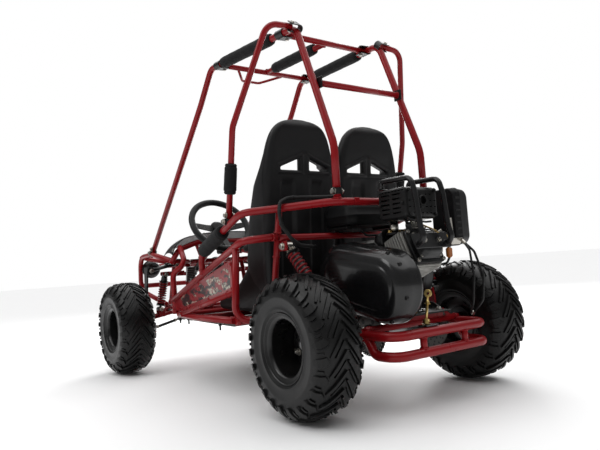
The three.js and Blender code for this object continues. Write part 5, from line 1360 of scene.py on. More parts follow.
# painted shade: a dark disc on each face in place of each drilled hole
for ring_r, n in ((46, 12), (54, 12), (62, 18)):
    for k in range(n):
        a = 2 * math.pi * (k + (ring_r == 54) * .5) / n
        for e in (1, -1):
            o.ringp([(0.3, e * 2.08), (2.7, e * 2.08), (3.3, e * 1.95)], (-155, ring_r * math.cos(a), 188 + ring_r * math.sin(a)), X, 12, DARKSTEEL)
o.ringp([(12.4, -11), (24, -11), (25, -10), (25, 4), (42, 4), (42, -2.2), (40, -2.2)], (-155, 0, 188), X, 44, DARKSTEEL)
for k in range(5):
    a = 2 * math.pi * k / 5
    o.hexbolt((-151, 34 * math.cos(a), 188 + 34 * math.sin(a)), X, 9, 4, False, ZINC)
for q in (1, -1):
    o.ringp([(12.4, -13.8), (21, -13.8), (22, -12.8), (22, 12), (12.4, 13.8)], (q * 282, 0, 188), (q, 0, 0), 36, DARKSTEEL)
    o.ringp([(12.4, -4), (41, -4), (42, -3), (42, 3), (41, 4), (12.4, 4)], (q * 294, 0, 188), (q, 0, 0), 48, DARKSTEEL)
    o.ringp([(12.4, -8), (21, -8), (21, 8), (12.4, 8)], (q * 305, 0, 188), (q, 0, 0), 36, DARKSTEEL)
    for t in (212, 238):
        o.ringp([(12.4, -5), (17.5, -5), (18.5, -4), (18.5, 4), (17.5, 5), (12.4, 5)], (q * t, 0, 188), (q, 0, 0), 30, ZINC)
o.make("axle_shaft", "rear_axle", ["rear_axle"], slot="steel")

# studs under the floor rails
o = Build()
for q in (1, -1):
    for x, y, z in ((286, -866, 226), (293, -773, 227), (338, -432, 227)):
        o.hexbolt((q * x, y, z), (0, 0, -1), 10, 6, False, DARKSTEEL)
        o.tube([(q * x, y, z - 4), (q * x, y, z - 20)], 3, 1, sides=12, mat=DARKSTEEL)
o.make("rail_studs", "frame", slot="steel")

# ---------------------------------------------------------------- swing arm and rear bumper
o = Build()
o.tube([(-201.4, -265, 238), (201.4, -265, 238)], 12, 1, sides=24, mat=RED)
o.tube([(-214, -265, 238), (214, -265, 238)], 6, 1, sides=16, mat=ZINC)
for q in (1, -1):
    m = lambda p: mirror(p, q)
    o.tube(m([(190, -265, 238), (190, -130, 222), (188, 28, 222)]), RM, [0, 60, 0], mat=RED)
    bush(o, (q * 190, 0, 188), (1, 0, 0), 26, 26, 13.2, RED)
    o.ringp([(12.8, -14.5), (18, -14.5), (18, 14.5), (12.8, 14.5)], (q * 190, 0, 188), (q, 0, 0), 32, STEEL)
    for k in range(3):
        a = 2 * math.pi * k / 3 + 1.57
        o.hexbolt((q * 203, 21.8 * math.cos(a), 188 + 21.8 * math.sin(a)), (q, 0, 0), 7, 3, False, ZINC)
    # gusset over the bearing housing and the shock bracket
    o.plate([(-34, 8), (34, 8), (24, 26), (-24, 26)], (q * 190, 0, 188), (0, 1, 0), (0, 0, 1), 6, RED)
    o.plate([(-16, -46), (16, -46), (16, 20), (10, 46), (-10, 46), (-16, 20)], (q * 203.5, -30, 250), (0, 1, 0), (0, 0, 1), 7, RED)
    o.tube(m([(205, -30, 290), (234, -30, 290)]), 5, 1, sides=14, mat=ZINC)
    o.hexbolt((q * 234, -30, 290), (q, 0, 0), 15, 7, mat=ZINC)
    o.tube(m([(80, 190, 200), (80, 190, 150)]), RT, 1, mat=RED)
    for z, e in ((188.5, 1), (161.5, -1)):
        o.weld((q * 80, 190, z), (0, 0, 1), RT, RED)
    for p, d, r in [((190, -251, 236.3), (0, 1, -.1), RM), ((178, 84, 188), (0, .3, -.95), RBUMP), ((178, -84, 222), (1, 0, 0), RT), ((168, 84, 212), (1, 0, 0), RT), ((187.4, 24, 221.5), (0, .9, -.2), RM)]:
        o.weld((q * p[0], p[1], p[2]), (q * d[0], d[1], d[2]), r, RED)
o.tube([(187, 18, 222), (178, 70, 200), (178, 190, 200), (-178, 190, 200), (-178, 70, 200), (-187, 18, 222)], RBUMP, [0, 40, 45, 45, 40, 0], sides=22, step=7, mat=RED)
o.tube([(178, 84, 200), (178, 112, 150), (178, 190, 150), (-178, 190, 150), (-178, 112, 150), (-178, 84, 200)], RBUMP, [0, 30, 45, 45, 30, 0], sides=22, step=7, mat=RED)
o.tube([(-190, -84, 222), (190, -84, 222)], RT, 1, mat=RED)
o.tube([(-182, 84, 212), (182, 84, 212)], RT, 1, mat=RED)
o.box((-26, -2, 235.5), (218, 216, 5), ch=1.2, mat=DARKSTEEL)
o.box((-26, 84, 226), (180, 14, 16), ch=1.5, mat=RED)
for x in (-118, -60, 20, 70):
    for y in (-78, 72):
        o.hexbolt((x, y, 238), (0, 0, 1), 13, 6, mat=ZINC)
# adjuster rod on its plate behind the belt cover
o.box((46, 180, 215.5), (46, 30, 4), ch=1, mat=BLACK_TUBE)
o.tube([(47, 172, 216), (30, 171, 290)], 3.6, 1, sides=16, mat=YZINC)
for t, w, h in ((0.03, 15, 6), (0.12, 13, 5), (0.72, 11, 6)):
    c = Vector((47, 172, 216)).lerp(Vector((30, 171, 290)), t)
    o.hexbolt(c, (-.224, -.013, .974), w, h, True, YZINC)
o.ringp([(3.8, -4.5), (9.5, -4.5), (10.5, -3.5), (10.5, 3.5), (9.5, 4.5), (3.8, 4.5)], (28.4, 171, 297), (0.8, 0.6, 0), 24, YZINC)
# brake caliper on its bracket
o.plate([(-34, -14), (30, -30), (52, -8), (44, 26), (16, 34), (-6, 14)], (-181, -56, 206), (0, 1, 0), (0, 0, 1), 5, RED)
o.box((-155, -60, 214), (44, 34, 52), Matrix.Rotation(0.5, 3, "X"), 5, CAST)
o.box((-172, -62, 216), (18, 44, 40), Matrix.Rotation(0.5, 3, "X"), 6, CAST)
o.ringp([(0.5, 0), (13, 0), (15, -3), (15, -12)], (-184, -62, 216), (-1, 0, 0), 30, CAST)
o.hexbolt((-183, -40, 234), (-1, 0, 0), 10, 5, mat=ZINC)
o.hexbolt((-183, -76, 190), (-1, 0, 0), 10, 5, mat=ZINC)
o.tube([(-186, -62, 222), (-196, -90, 236), (-176, -170, 246), (-130, -240, 262)], 3, [0, 30, 40, 0], sides=10, mat=RUBBER)
# chain round the two sprockets
C1, R1, C2, R2 = Vector((94, 0, 188)), 57.5, Vector((94, 125, 340)), 25.5
d = C2 - C1; D = d.length; ba = math.atan2(d.z, d.y); al = math.acos((R1 - R2) / D)
loop = []
for k in range(61):
    a = ba + al + (2 * math.pi - 2 * al) * k / 60
    loop.append(C1 + Vector((0, math.cos(a), math.sin(a))) * R1)
for k in range(31):
    a = ba - al + 2 * al * k / 30
    loop.append(C2 + Vector((0, math.cos(a), math.sin(a))) * R2)
loop.append(loop[0])
seg = [0.0]
for a, c in zip(loop, loop[1:]):
    seg.append(seg[-1] + (c - a).length)
total = seg[-1]; NL = int(total / 9.525 / 2) * 2; st = total / NL


def at_len(s):
    s %= total
    for i in range(len(seg) - 1):
        if seg[i + 1] >= s:
            return loop[i].lerp(loop[i + 1], (s - seg[i]) / (seg[i + 1] - seg[i]))
    return loop[-1]


pins = [at_len(i * st) for i in range(NL)]
for i in range(NL):
    a, c = pins[i], pins[(i + 1) % NL]
    o.ringp([(0.3, -5.2), (1.7, -5.2), (1.7, 5.2), (0.3, 5.2)], a, X, 8, ZINC)
    o.ringp([(0.3, -2.6), (2.8, -2.6), (2.8, 2.6), (0.3, 2.6)], a, X, 10, STEEL)
    dv = (c - a).normalized(); L = (c - a).length
    nv = dv.cross(Vector(X))
    for e in (1, -1):
        off = e * (3.3 if i % 2 else 4.6)
        outl = [(-3.6, -1.8), (-1.8, -3.6), (L * .5, -2.6), (L + 1.8, -3.6), (L + 3.6, -1.8), (L + 3.6, 1.8), (L + 1.8, 3.6), (L * .5, 2.6), (-1.8, 3.6), (-3.6, 1.8)]
        o.plate(outl, a + Vector((off, 0, 0)), dv, nv, 1.1, DARKSTEEL, 0.15)
o.make("swing_arm_tubes", "swing_arm", ["swing_arm"], slot="frame_paint")

# ---------------------------------------------------------------- rear shocks
for q, nm in ((1, "left"), (-1, "right")):
    T, L = Vector((q * 254, -140, 452)), Vector((q * 222, -30, 290))
    d = (L - T).normalized()
    o = Build()
    bush(o, T, (1, 0, 0), 13, 20, 6, ZINC)
    bush(o, T, (1, 0, 0), 9, 21.4, 5.6, RUBBER)
    o.ringp([(6, 113), (13.9, 113), (14.5, 111.5), (14.5, 16), (12, 10.5), (7, 9)], T, d, 34, BLACK_TUBE)
    o.ringp([(14.5, 23), (20.6, 23.4), (21.4, 24.6), (21.4, 27.6), (20, 28.6), (14.5, 28.6)], T, d, 40, DARKSTEEL)
    for k in range(7):
        o.ringp([(14.4, 12.4 + k * 1.6), (15.4, 12.9 + k * 1.6), (14.4, 13.5 + k * 1.6)], T, d, 34, ZINC)
    o.make("rear_shock_tube_" + nm, "rear_shock_body_" + nm, ["rear_shock_body_" + nm], slot="steel")
    o = Build()
    bush(o, L, (1, 0, 0), 12, 20, 6.2, CAST)
    bush(o, L, (1, 0, 0), 8.6, 21.4, 5.8, RUBBER)
    o.tube([L - d * 9, L - d * 122], 5.1, 1, sides=18, mat=STEEL)
    o.ringp([(5.2, -2.5), (18.5, -2.5), (20, -1.5), (20, 1.5), (18, 2.5), (5.2, 2.5)], L - d * 20, d, 40, DARKSTEEL)
    o.ringp([(5.2, -4), (10.5, -7), (9.5, -14), (5.2, -15)], L - d * 22, d, 28, RUBBER)
    o.make("rear_shock_stem_" + nm, "rear_shock_rod_" + nm, ["rear_shock_rod_" + nm], slot="steel")
    o = Build()
    lo, hi = L - d * 22.8, T + d * 28.8
    o.helix(lo, hi, 18.6, 3.3, 11.6, RED_SPRING, sides=12, per=24)
    sp = o.make("rear_spring_" + nm, None, slot="frame_paint")
    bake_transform(sp)

# ---------------------------------------------------------------- engine
CR, JK = (-20, 352), (125, 340)
ANG = math.radians(22.5)


def A(t, x=5.0, up=0.0):
    return Vector((x, -20 + t * math.cos(ANG) - up * math.sin(ANG), 352 + t * math.sin(ANG) + up * math.cos(ANG)))


BAR = Matrix.Rotation(ANG, 3, "X")
BDIR = BAR @ Vector((0, 1, 0)); BUP = BAR @ Vector((0, 0, 1))


def rounded(w, h, r, n=5):
    """outline of a rounded rectangle"""
    pts = []
    for cx, cy, a0 in ((w / 2 - r, h / 2 - r, 0), (-w / 2 + r, h / 2 - r, 90), (-w / 2 + r, -h / 2 + r, 180), (w / 2 - r, -h / 2 + r, 270)):
        for k in range(n + 1):
            a = math.radians(a0 + 90 * k / n)
            pts.append((cx + r * math.cos(a), cy + r * math.sin(a)))
    return pts


def loft(o, rings, mat, smooth=True, cap=True):
    o.grid([[P(p) for p in r] for r in rings], True, cap, cap, smooth, mat)


def rring(c, du, dv, w, h, r, n=5):
    c, du, dv = Vector(c), Vector(du), Vector(dv)
    return [c + du * a + dv * e for a, e in rounded(w, h, r, n)]


o = Build()
X, Y, Z = Vector((1, 0, 0)), Vector((0, 1, 0)), Vector((0, 0, 1))
# crankcase: a rounded casting with a sump flange, ribs and feet
loft(o, [rring((0, -24, 242), X, Y, 150, 138, 14), rring((0, -24, 246), X, Y, 164, 150, 18), rring((0, -24, 262), X, Y, 164, 150, 18), rring((0, -24, 268), X, Y, 154, 142, 20), rring((0, -24, 352), X, Y, 150, 140, 24), rring((0, -30, 376), X, Y, 150, 130, 26), rring((0, -36, 402), X, Y, 146, 108, 24), rring((0, -40, 440), X, Y, 140, 98, 22), rring((0, -40, 452), X, Y, 128, 88, 20)], CAST)
loft(o, [rring((0, -24, 240.5), X, Y, 162, 152, 8), rring((0, -24, 244), X, Y, 162, 152, 8)], CAST, False)
for x in (-58, -30, 0, 30, 58):
    o.box((x, -95, 318), (4, 10, 84), ch=1.5, mat=CAST)
    o.box((x, 49, 290), (4, 8, 44), ch=1.5, mat=CAST)
# side cover on the drive side with its bolts
loft(o, [rring((76, -24, 332), Y, Z, 130, 128, 40), rring((83, -24, 332), Y, Z, 130, 128, 40), rring((86, -24, 332), Y, Z, 124, 122, 38)], CAST)
for k in range(7):
    a = 2 * math.pi * k / 7 + .3
    o.hexbolt((86, -24 + 55 * math.cos(a), 332 + 53 * math.sin(a)), X, 9, 4, False, ZINC)
bush(o, (88, -20, 352), X, 30, 12, 13, CAST)
# oil filler and drain
o.ringp([(0.5, 16), (10, 16), (13, 14), (13, 8), (9, 6), (9, 0)], (60, 46, 290), (0.3, .8, .4), 8, AMBER)
o.hexbolt((30, 50, 254), Y, 14, 6, mat=ZINC)
# bracket plate for the drive
o.plate([(-110, 262), (40, 262), (150, 290), (158, 372), (110, 396), (62, 442), (26, 442), (-60, 420), (-114, 400), (-114, 330)], (102.5, 0, 0), (0, 1, 0), (0, 0, 1), 5, DARKSTEEL)
for y, z in ((-92, 300), (-92, 350), (20, 285)):
    o.tube([(86, y, z), (101, y, z)], 8, 1, sides=16, mat=STEEL)
for y, z in ((-92, 300), (-92, 350), (20, 285), (140, 360), (140, 300), (100, 300)):
    o.hexbolt((105, y, z), X, 11, 4.5, True, ZINC)
bush(o, (98, 125, 340), X, 30, 14, 14, CAST)
# barrel and its fins
loft(o, [rring(A(58), X, BUP, 92, 88, 14), rring(A(178), X, BUP, 92, 88, 14)], FIN)
for i in range(11):
    t = 80 + i * 9.2
    g = 1.0 if i not in (0, 10) else 0.96
    loft(o, [rring(A(t - 1.4), X, BUP, 120 * g, 110 * g, 12, 3), rring(A(t - .7), X, BUP, 122 * g, 112 * g, 12, 3), rring(A(t + .7), X, BUP, 122 * g, 112 * g, 12, 3), rring(A(t + 1.4), X, BUP, 120 * g, 110 * g, 12, 3)], FIN, False)
# head: gasket line, finned block and rocker cover
loft(o, [rring(A(176), X, BUP, 108, 100, 12), rring(A(190), X, BUP, 108, 100, 12)], BLACK_TUBE)
loft(o, [rring(A(173.6), X, BUP, 104, 96, 12), rring(A(176), X, BUP, 104, 96, 12)], FIN, False)
loft(o, [rring(A(190), X, BUP, 84, 80, 12), rring(A(194), X, BUP, 84, 80, 12), rring(A(196), X, BUP, 78, 74, 14), rring(A(210), X, BUP, 74, 70, 16), rring(A(216), X, BUP, 62, 58, 16), rring(A(217.4), X, BUP, 44, 40, 12)], BLACK_TUBE)
for a, e in ((-36, -32), (36, -32), (-36, 32), (36, 32)):
    o.hexbolt(A(194, 5 + a, e), BDIR, 8, 4, False, ZINC)
for k in range(4):
    for e in (1, -1):
        o.hexbolt(A(190, 5 + (-48 if k % 2 else 48), e * 42), BDIR, 10, 5, False, ZINC)
# spark plug and its cap with the lead to the coil
pl = A(183, 38, 44)
o.ringp([(0.4, 30), (7, 28), (8.5, 22), (8, 4), (6, 0)], pl, (0.35, .25, .9), 18, RUBBER)
o.tube([pl + Vector((0.35, .25, .9)) * 26, pl + Vector((6, -10, 44)), pl + Vector((-50, -60, 40)), (-78, 40, 436)], 3.2, [0, 18, 30, 0], sides=10, mat=RUBBER)
# shroud from the blower over the barrel
loft(o, [rring((-84, 10, 400), Y, Z, 120, 110, 30), rring((-70, 40, 420), Y, Z, 112, 96, 26), rring((-58, 62, 428), Y, Z, 96, 84, 22)], BLACK_TUBE)
# blower housing: stepped dish
o.ringp([(70, 36), (84, 34), (90, 30), (92, 24), (92, -2), (88, -10), (74, -14)], (-84, -20, 352), (-1, 0, 0), 64, BLACK_TUBE)
o.ringp([(0.5, 37), (72, 37)], (-84, -20, 352), (-1, 0, 0), 64, BLACK_TUBE)
for k in range(5):
    a = 2 * math.pi * k / 5 + .6
    o.hexbolt((-119, -20 + 80 * math.cos(a), 352 + 80 * math.sin(a)), (-1, 0, 0), 9, 4, True, ZINC)
# recoil cover with its slots and middle boss
o.ringp([(66, 30), (66, 42), (63, 48), (56, 53), (40, 57.5), (18, 60), (16, 61), (0.5, 61)], (-84, -20, 352), (-1, 0, 0), 64, BLACK_TUBE)
for k in range(16):
    a = 2 * math.pi * k / 16
    d = Vector((0, math.cos(a), math.sin(a)))
    pts = [Vector((-84 - 57.6, -20, 352)) + d * 26 + X * -1.4, Vector((-84 - 52.8, -20, 352)) + d * 54 + X * -1.6]
    o.tube(pts, 2.6, 1, sides=8, mat=RUBBER)
o.ringp([(0.5, 62.4), (12, 62.2), (14, 60.6)], (-84, -20, 352), (-1, 0, 0), 36, STEEL)
# starter handle and rope guide
o.box((-126, 34, 408), (16, 22, 20), ch=4, mat=BLACK_TUBE)
o.tube([(-126, 44, 412), (-126, 60, 418)], 2, 1, sides=8, mat=RUBBER)
o.tube([(-144, 62, 419), (-108, 62, 419)], 6.5, 1, sides=16, mat=RUBBER)
# carburettor: body, bowl, flange, levers and linkage
loft(o, [rring((-52, 104, 442), Y, Z, 46, 44, 8), rring((-58, 104, 442), Y, Z, 46, 44, 8)], CAST)
o.ringp([(0.5, -4), (17, -4), (18, -2), (18, 14), (21, 16), (21, 40), (19, 42), (19, 58), (22, 60), (22, 66), (0.5, 66)], (-66, 104, 442), (-1, 0, 0), 36, CAST)
o.box((-96, 104, 444), (30, 42, 40), ch=5, mat=CAST)
o.ringp([(0.5, 20), (12, 20), (17, 16), (18, 6), (18, -8), (20, -9), (20, -12), (0.5, -12)], (-96, 104, 420), (0, 0, -1), 36, BRASS)
o.hexbolt((-96, 104, 400), (0, 0, -1), 10, 4, False, ZINC)
o.ringp([(0.5, 0), (5, 0), (5, 9), (7.5, 10), (7.5, 18), (0.5, 18)], (-96, 125, 446), (0, 1, 0), 20, BRASS)
o.box((-84, 128, 462), (26, 3, 7), Matrix.Rotation(0.4, 3, "Y"), .8, ZINC)
o.box((-110, 84, 464), (3, 30, 7), Matrix.Rotation(0.3, 3, "X"), .8, ZINC)
o.tube([(-84, 130, 462), (-70, 134, 452), (-40, 120, 462), (20, 96, 474)], 1.3, 12, sides=8, mat=ZINC)
o.helix((-70, 130, 458), (-30, 112, 466), 2.6, 0.6, 14, ZINC, sides=6, per=10)
for y in (86, 122):
    o.hexbolt((-58, y, 460 if y > 100 else 424), (-1, 0, 0), 9, 4, False, ZINC)
# throttle plate above the barrel: the yellow plated hardware that shows behind the carburettor
o.plate(rounded(70, 44, 6), (-20, 92, 470), (1, 0, 0), (0, .9, .3), 2.4, ZINC)
o.box((-44, 98, 478), (22, 8, 18), ch=1.5, mat=BRASS)
o.box((-8, 90, 480), (16, 18, 14), ch=2, mat=BRASS)
for x, y in ((-46, 84), (2, 84), (2, 102)):
    o.hexbolt((x, y, 472 + (y - 92) * .33), (0, -.3, .95), 9, 5, True, BRASS)
o.tube([(-46, 100, 486), (-60, 128, 470), (-88, 150, 444)], 2.4, 20, sides=8, mat=BRASS)
# exhaust port block and its pipe into the silencer
loft(o, [rring((6, 18, 426), X, Z, 120, 40, 8), rring((6, 30, 440), X, Z, 132, 46, 10), rring((6, 58, 452), X, Z, 128, 50, 10)], BLACK_TUBE)
o.tube([(40, 78, 462), (40, 78, 500)], 12, 1, sides=24, mat=ZINC)
o.ringp([(12, -3), (24, -3), (24, 3), (12, 3)], (40, 78, 464), (0, 0, 1), 30, DARKSTEEL)
for e in (1, -1):
    o.hexbolt((40 + e * 18, 78, 467), (0, 0, 1), 9, 5, True, BRASS)
# bright heat plate and nuts under the silencer
o.plate([(-22, -10), (18, -12), (24, 2), (10, 12), (-16, 8)], (14, 128, 486), (1, 0, 0), (0, .5, .86), 2.4, ZINC)
for x in (0, 26):
    o.hexbolt((x, 131, 488), (0, .86, -.5), 9, 5, True, ZINC)
o.plate([(-7, -18), (7, -18), (5, 18), (-5, 18)], (-110, 151.5, 481), (1, 0, 0), (0, 0, 1), 2.2, ZINC)
# fuel filter with its two short hoses
o.ringp([(0.5, -15), (5, -15), (9, -11), (9.4, 10), (5, 14), (0.5, 14)], (-109, 138, 402), (0, 0, 1), 26, AMBER)
o.tube([(-109, 138, 416), (-108, 136, 428), (-100, 122, 436)], 3.4, [0, 8, 0], sides=10, mat=RUBBER)
o.tube([(-109, 138, 388), (-106, 130, 372), (-92, 96, 366)], 3.4, [0, 10, 0], sides=10, mat=RUBBER)
# engine control box with a rocker switch, coil
o.box((-62, -96, 398), (46, 14, 40), ch=4, mat=PLASTIC)
o.box((-62, -104.5, 398), (14, 4, 22), ch=1, mat=REDP)
o.box((40, -92, 420), (60, 20, 34), ch=4, mat=BLACK_TUBE)
o.make("engine_castings", "swing_arm", ["engine_block"], slot="alloy")

# fuel tank with a rolled seam and a cap
o = Build()
tk = lambda z, w, h, r: rring((-5, -105, z), X, Y, w, h, r, 8)
loft(o, [tk(500, 186, 122, 26), tk(501.5, 196, 132, 28), tk(506, 204, 140, 30), tk(514, 207, 143, 31), tk(528, 207, 143, 31), tk(529, 210, 146, 32), tk(532, 210, 146, 32), tk(533, 207, 143, 31), tk(550, 205, 141, 32), tk(560, 198, 134, 34), tk(566, 186, 122, 34), tk(569.4, 168, 104, 32), tk(570.3, 130, 70, 26)], TANK)
o.ringp([(0.5, 585), (22, 585), (27, 583), (30, 579), (30, 572), (26, 568), (26, 562)], (-30, -104, 0), (0, 0, 1), 40, TANK)
for k in range(20):
    a = 2 * math.pi * k / 20
    o.box((-30 + 29.2 * math.cos(a), -104 + 29.2 * math.sin(a), 576), (3.2, 3.2, 8), Matrix.Rotation(a, 3, "Z"), .8, TANK)
o.box((-30, -104, 585.2), (34, 7, 4), ch=1.5, mat=TANK)
for x in (-96, 86):
    o.box((x, -105, 500 - 5), (20, 90, 8), ch=1.5, mat=DARKSTEEL)
o.tube([(60, -50, 502), (66, -42, 488), (40, -38, 468), (-50, 30, 466), (-80, 92, 462), (-96, 100, 460)], 3.4, [0, 12, 20, 30, 12, 0], sides=10, mat=RUBBER)
o.make("fuel_tank_shell", "swing_arm", ["fuel_tank"], slot="black_paint")

# silencer in its slotted shield
o = Build()
W_, D_, H_ = 122, 106, 86
ctr = Vector((17, 114, 541))
rr = lambda x, w, h, r: [Vector((x, 114, 541)) + Y * a + Z * e for a, e in rounded(w, h, r, 8)]
loft(o, [rr(-44, 94, 74, 12), rr(-42, 102, 82, 16), rr(-36, 107, 87, 17), rr(70, 107, 87, 17), rr(76, 102, 82, 16), rr(78.6, 94, 74, 12)], DARKSTEEL)
shield = o.make("silencer_shield", None)
ks = []
for i in range(5):
    for y in (91, 133):
        k = Build()
        k.plate(rounded(33, 4.6, 2.2, 3), (77, y, 516 + i * 12.6), (0, 1, 0), (0, 0, 1), 26, None, 0.1)
        ks.append(k.make("cutter", None))
for i in range(8):
    k = Build()
    k.plate(rounded(8, 3.6, 1.7, 3), (77, 70 + i * 12.4, 575.5), (0, 1, 0), (0, 0, 1), 26, None, 0.1)
    ks.append(k.make("cutter", None))
for i in range(7):
    for j in range(4):
        x, z = -32 + i * 16, 512 + j * 17
        if (x - 24) ** 2 + (z - 545) ** 2 < 26 ** 2 or abs(x + 32) + abs(z - 512) < 2 or (i in (0, 6) and j in (0, 3)):
            continue
        k = Build()
        k.plate(rounded(7, 3.4, 1.6, 3), (x, 166, z), (-1, 0, 0), (0, 0, 1), 12, None, 0.1)
        ks.append(k.make("cutter", None))
for c in ks:
    md = shield.modifiers.new("slot", "BOOLEAN"); md.operation = "DIFFERENCE"; md.object = c; md.solver = "EXACT"
applied(shield)
for c in ks:
    bpy.data.objects.remove(c)
bv = shield.modifiers.new("bevel", "BEVEL"); bv.width = 0.0008; bv.segments = 2; bv.limit_method = "ANGLE"; bv.angle_limit = 0.6
applied(shield)
for p in shield.data.polygons:
    p.use_smooth = False
shield.data.materials.clear(); shield.data.materials.append(DARKSTEEL)
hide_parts("muffler"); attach(shield, "swing_arm")
o = Build()
# inner can behind the slots
loft(o, [rr(-30, 84, 66, 14), rr(60, 84, 66, 14), rr(66, 78, 60, 14)], DARKSTEEL)
o.ringp([(11, 12), (13.4, 12), (14, 11), (14, -6)], (24, 167, 545), (0, 1, 0), 34, DARKSTEEL)
o.ringp([(11, 12), (11, -8), (0.5, -8)], (24, 167, 545), (0, 1, 0), 34, DARKSTEEL)
o.ringp([(14, -1), (21, -0.6), (22, 1), (14, 1.6)], (24, 167, 545), (0, 1, 0), 36, DARKSTEEL)
for k in range(3):
    a = 2 * math.pi * k / 3 + .5
    o.hexbolt((24 + 18 * math.cos(a), 168.4, 545 + 18 * math.sin(a)), (0, 1, 0), 6, 3, False, DARKSTEEL)
for x in (-32, 66):
    for z in (508, 574):
        o.hexbolt((x, 167.4, z), (0, 1, 0), 8, 4, True, DARKSTEEL)
for y in (72, 156):
    o.hexbolt((78.6, y, 541), (1, 0, 0), 8, 4, True, DARKSTEEL)
o.tube([(78, 168, 498), (60, 172, 492), (0, 160, 488), (-30, 150, 490)], 3, 14, sides=10, mat=DARKSTEEL)
o.make("silencer_parts", "swing_arm", slot="steel")

# air cleaner: ribbed box, lid and wing nut
o = Build()
ar = lambda x, w, h, r: [Vector((x, 105, 505)) + Y * a + Z * e for a, e in rounded(w, h, r, 7)]
loft(o, [ar(-136, 78, 158, 20), ar(-138, 86, 166, 22), ar(-158, 88, 168, 22), ar(-159, 90, 170, 23), ar(-163, 90, 170, 23), ar(-164, 86, 166, 22), ar(-194, 82, 162, 24), ar(-200, 76, 156, 24), ar(-203.4, 64, 144, 20)], PLASTIC)
for k in range(6):
    z = 455 + k * 20
    o.tube([(-199.5, 74, z), (-203.8, 86, z), (-203.8, 124, z), (-199.5, 136, z)], 2.6, 8, sides=10, mat=PLASTIC)
for k in range(7):
    z = 450 + k * 18
    o.box((-150, 149.4, z), (20, 2.2, 5), ch=.8, mat=PLASTIC)
o.ringp([(0.5, 6), (7, 6), (9, 3), (9, 0)], (-203, 105, 560), (-1, 0, 0), 24, ZINC)
o.box((-209.5, 105, 560), (3, 26, 7), ch=1.2, mat=ZINC)
o.ringp([(15, 0), (19, 0), (19, 12), (15, 12)], (-126, 104, 442), (-1, 0, 0), 30, RUBBER)
o.make("air_cleaner_box", "swing_arm", ["air_cleaner"], slot="black_plastic")

# guard over the silencer: two bars from its top edge, over the rear and down to a bracket on the head
o = Build()
for x in (66, -42):
    o.tube([(x, 66, 585.6), (x, 66, 610), (x, 178, 606), (x, 190, 566), (x, 199, 476), (x, 211, 438), (x, 184, 427)], 7.5, [0, 18, 24, 60, 60, 16, 0], sides=18, mat=BLACK_TUBE)
    o.box((x if x < 0 else 60, 66, 587.4), (22, 20, 3), ch=1, mat=BLACK_TUBE)
    o.hexbolt((x + (-8 if x > 0 else 8), 66, 589), (0, 0, 1), 8, 4, False, BLACK_TUBE)
    o.weld((x, 187.5, 429.5), (0, .9, .4), 7.5, BLACK_TUBE, 1.8)
o.box((12, 183.3, 436.2), (136, 5, 44), Matrix.Rotation(math.radians(22.5), 3, "X"), 1.4, BLACK_TUBE)
for x in (-18, 40):
    o.hexbolt(Vector((x, 185.8, 437.2)), (0, .924, .383), 9, 5, True, ZINC)
o.make("guard_bars", "swing_arm", ["engine_guard"], slot="black_paint")


# belt cover: glossy pod with a stepped raised face
def lobe(e, n1=22, n2=30, y1=-20, z1=355, r1=95, y2=139, z2=324, r2=98):
    a1, a2 = r1 - e, r2 - e
    dy, dz = y2 - y1, z2 - z1
    base = math.atan2(dz, dy)
    th = math.asin((a2 - a1) / math.hypot(dy, dz))
    out = []
    for i in range(n1 + 1):
        t = base + math.pi / 2 + th + (math.pi - 2 * th) * i / n1
        out.append((y1 + a1 * math.cos(t), z1 + a1 * math.sin(t)))
    for i in range(n2 + 1):
        t = base - math.pi / 2 - th + (math.pi + 2 * th) * i / n2
        out.append((y2 + a2 * math.cos(t), z2 + a2 * math.sin(t)))
    return out


o = Build()
ring_at = lambda x, e: [Vector((x, y, z)) for y, z in lobe(e)]
# side wall, wide rolled shoulder, then a soft crowned face with one shallow step
outer = [(114.2, 1.6), (115, 0), (122, 0), (124, 1.2), (146, 1.8), (156, 3.2), (164, 5.6), (171, 9.4), (177, 14.6), (181.4, 20.5), (184, 27), (185.2, 33), (185.6, 38), (186.6, 40.5), (188, 43), (189.2, 48), (189.8, 54), (189.9, 60), (189.7, 68)]
rings = [ring_at(x, e) for x, e in outer]
inner = [(187.4, 68), (186.6, 52), (182, 30), (172, 15), (160, 8), (118, 6), (114.2, 5)]
loft(o, rings, GLOSS, True, False)
loft(o, [ring_at(x, e) for x, e in inner], GLOSS, True, False)
loft(o, [ring_at(189.7, 68), ring_at(189.6, 74), ring_at(189.5, 80)], GLOSS, True, True)
loft(o, [ring_at(187.4, 68), ring_at(187.2, 80)], GLOSS, True, True)
# small black screws round the shoulder
for i in (3, 11, 19, 28, 37, 46, 51):
    y, z = lobe(6.5)[i]
    o.ringp([(0.5, 3), (4.2, 2.6), (5.4, 0), (5.4, -5)], (166.5, y, z), X, 18, DARKSTEEL)
for (a, e) in (((105.4, -107, 355), (122, -107, 355)), ((105.4, 44, 433), (122, 44, 433))):
    o.tube([a, e], 6, 1, sides=16, mat=DARKSTEEL)
o.make("belt_pod", "swing_arm", ["belt_cover"], slot="black_plastic")

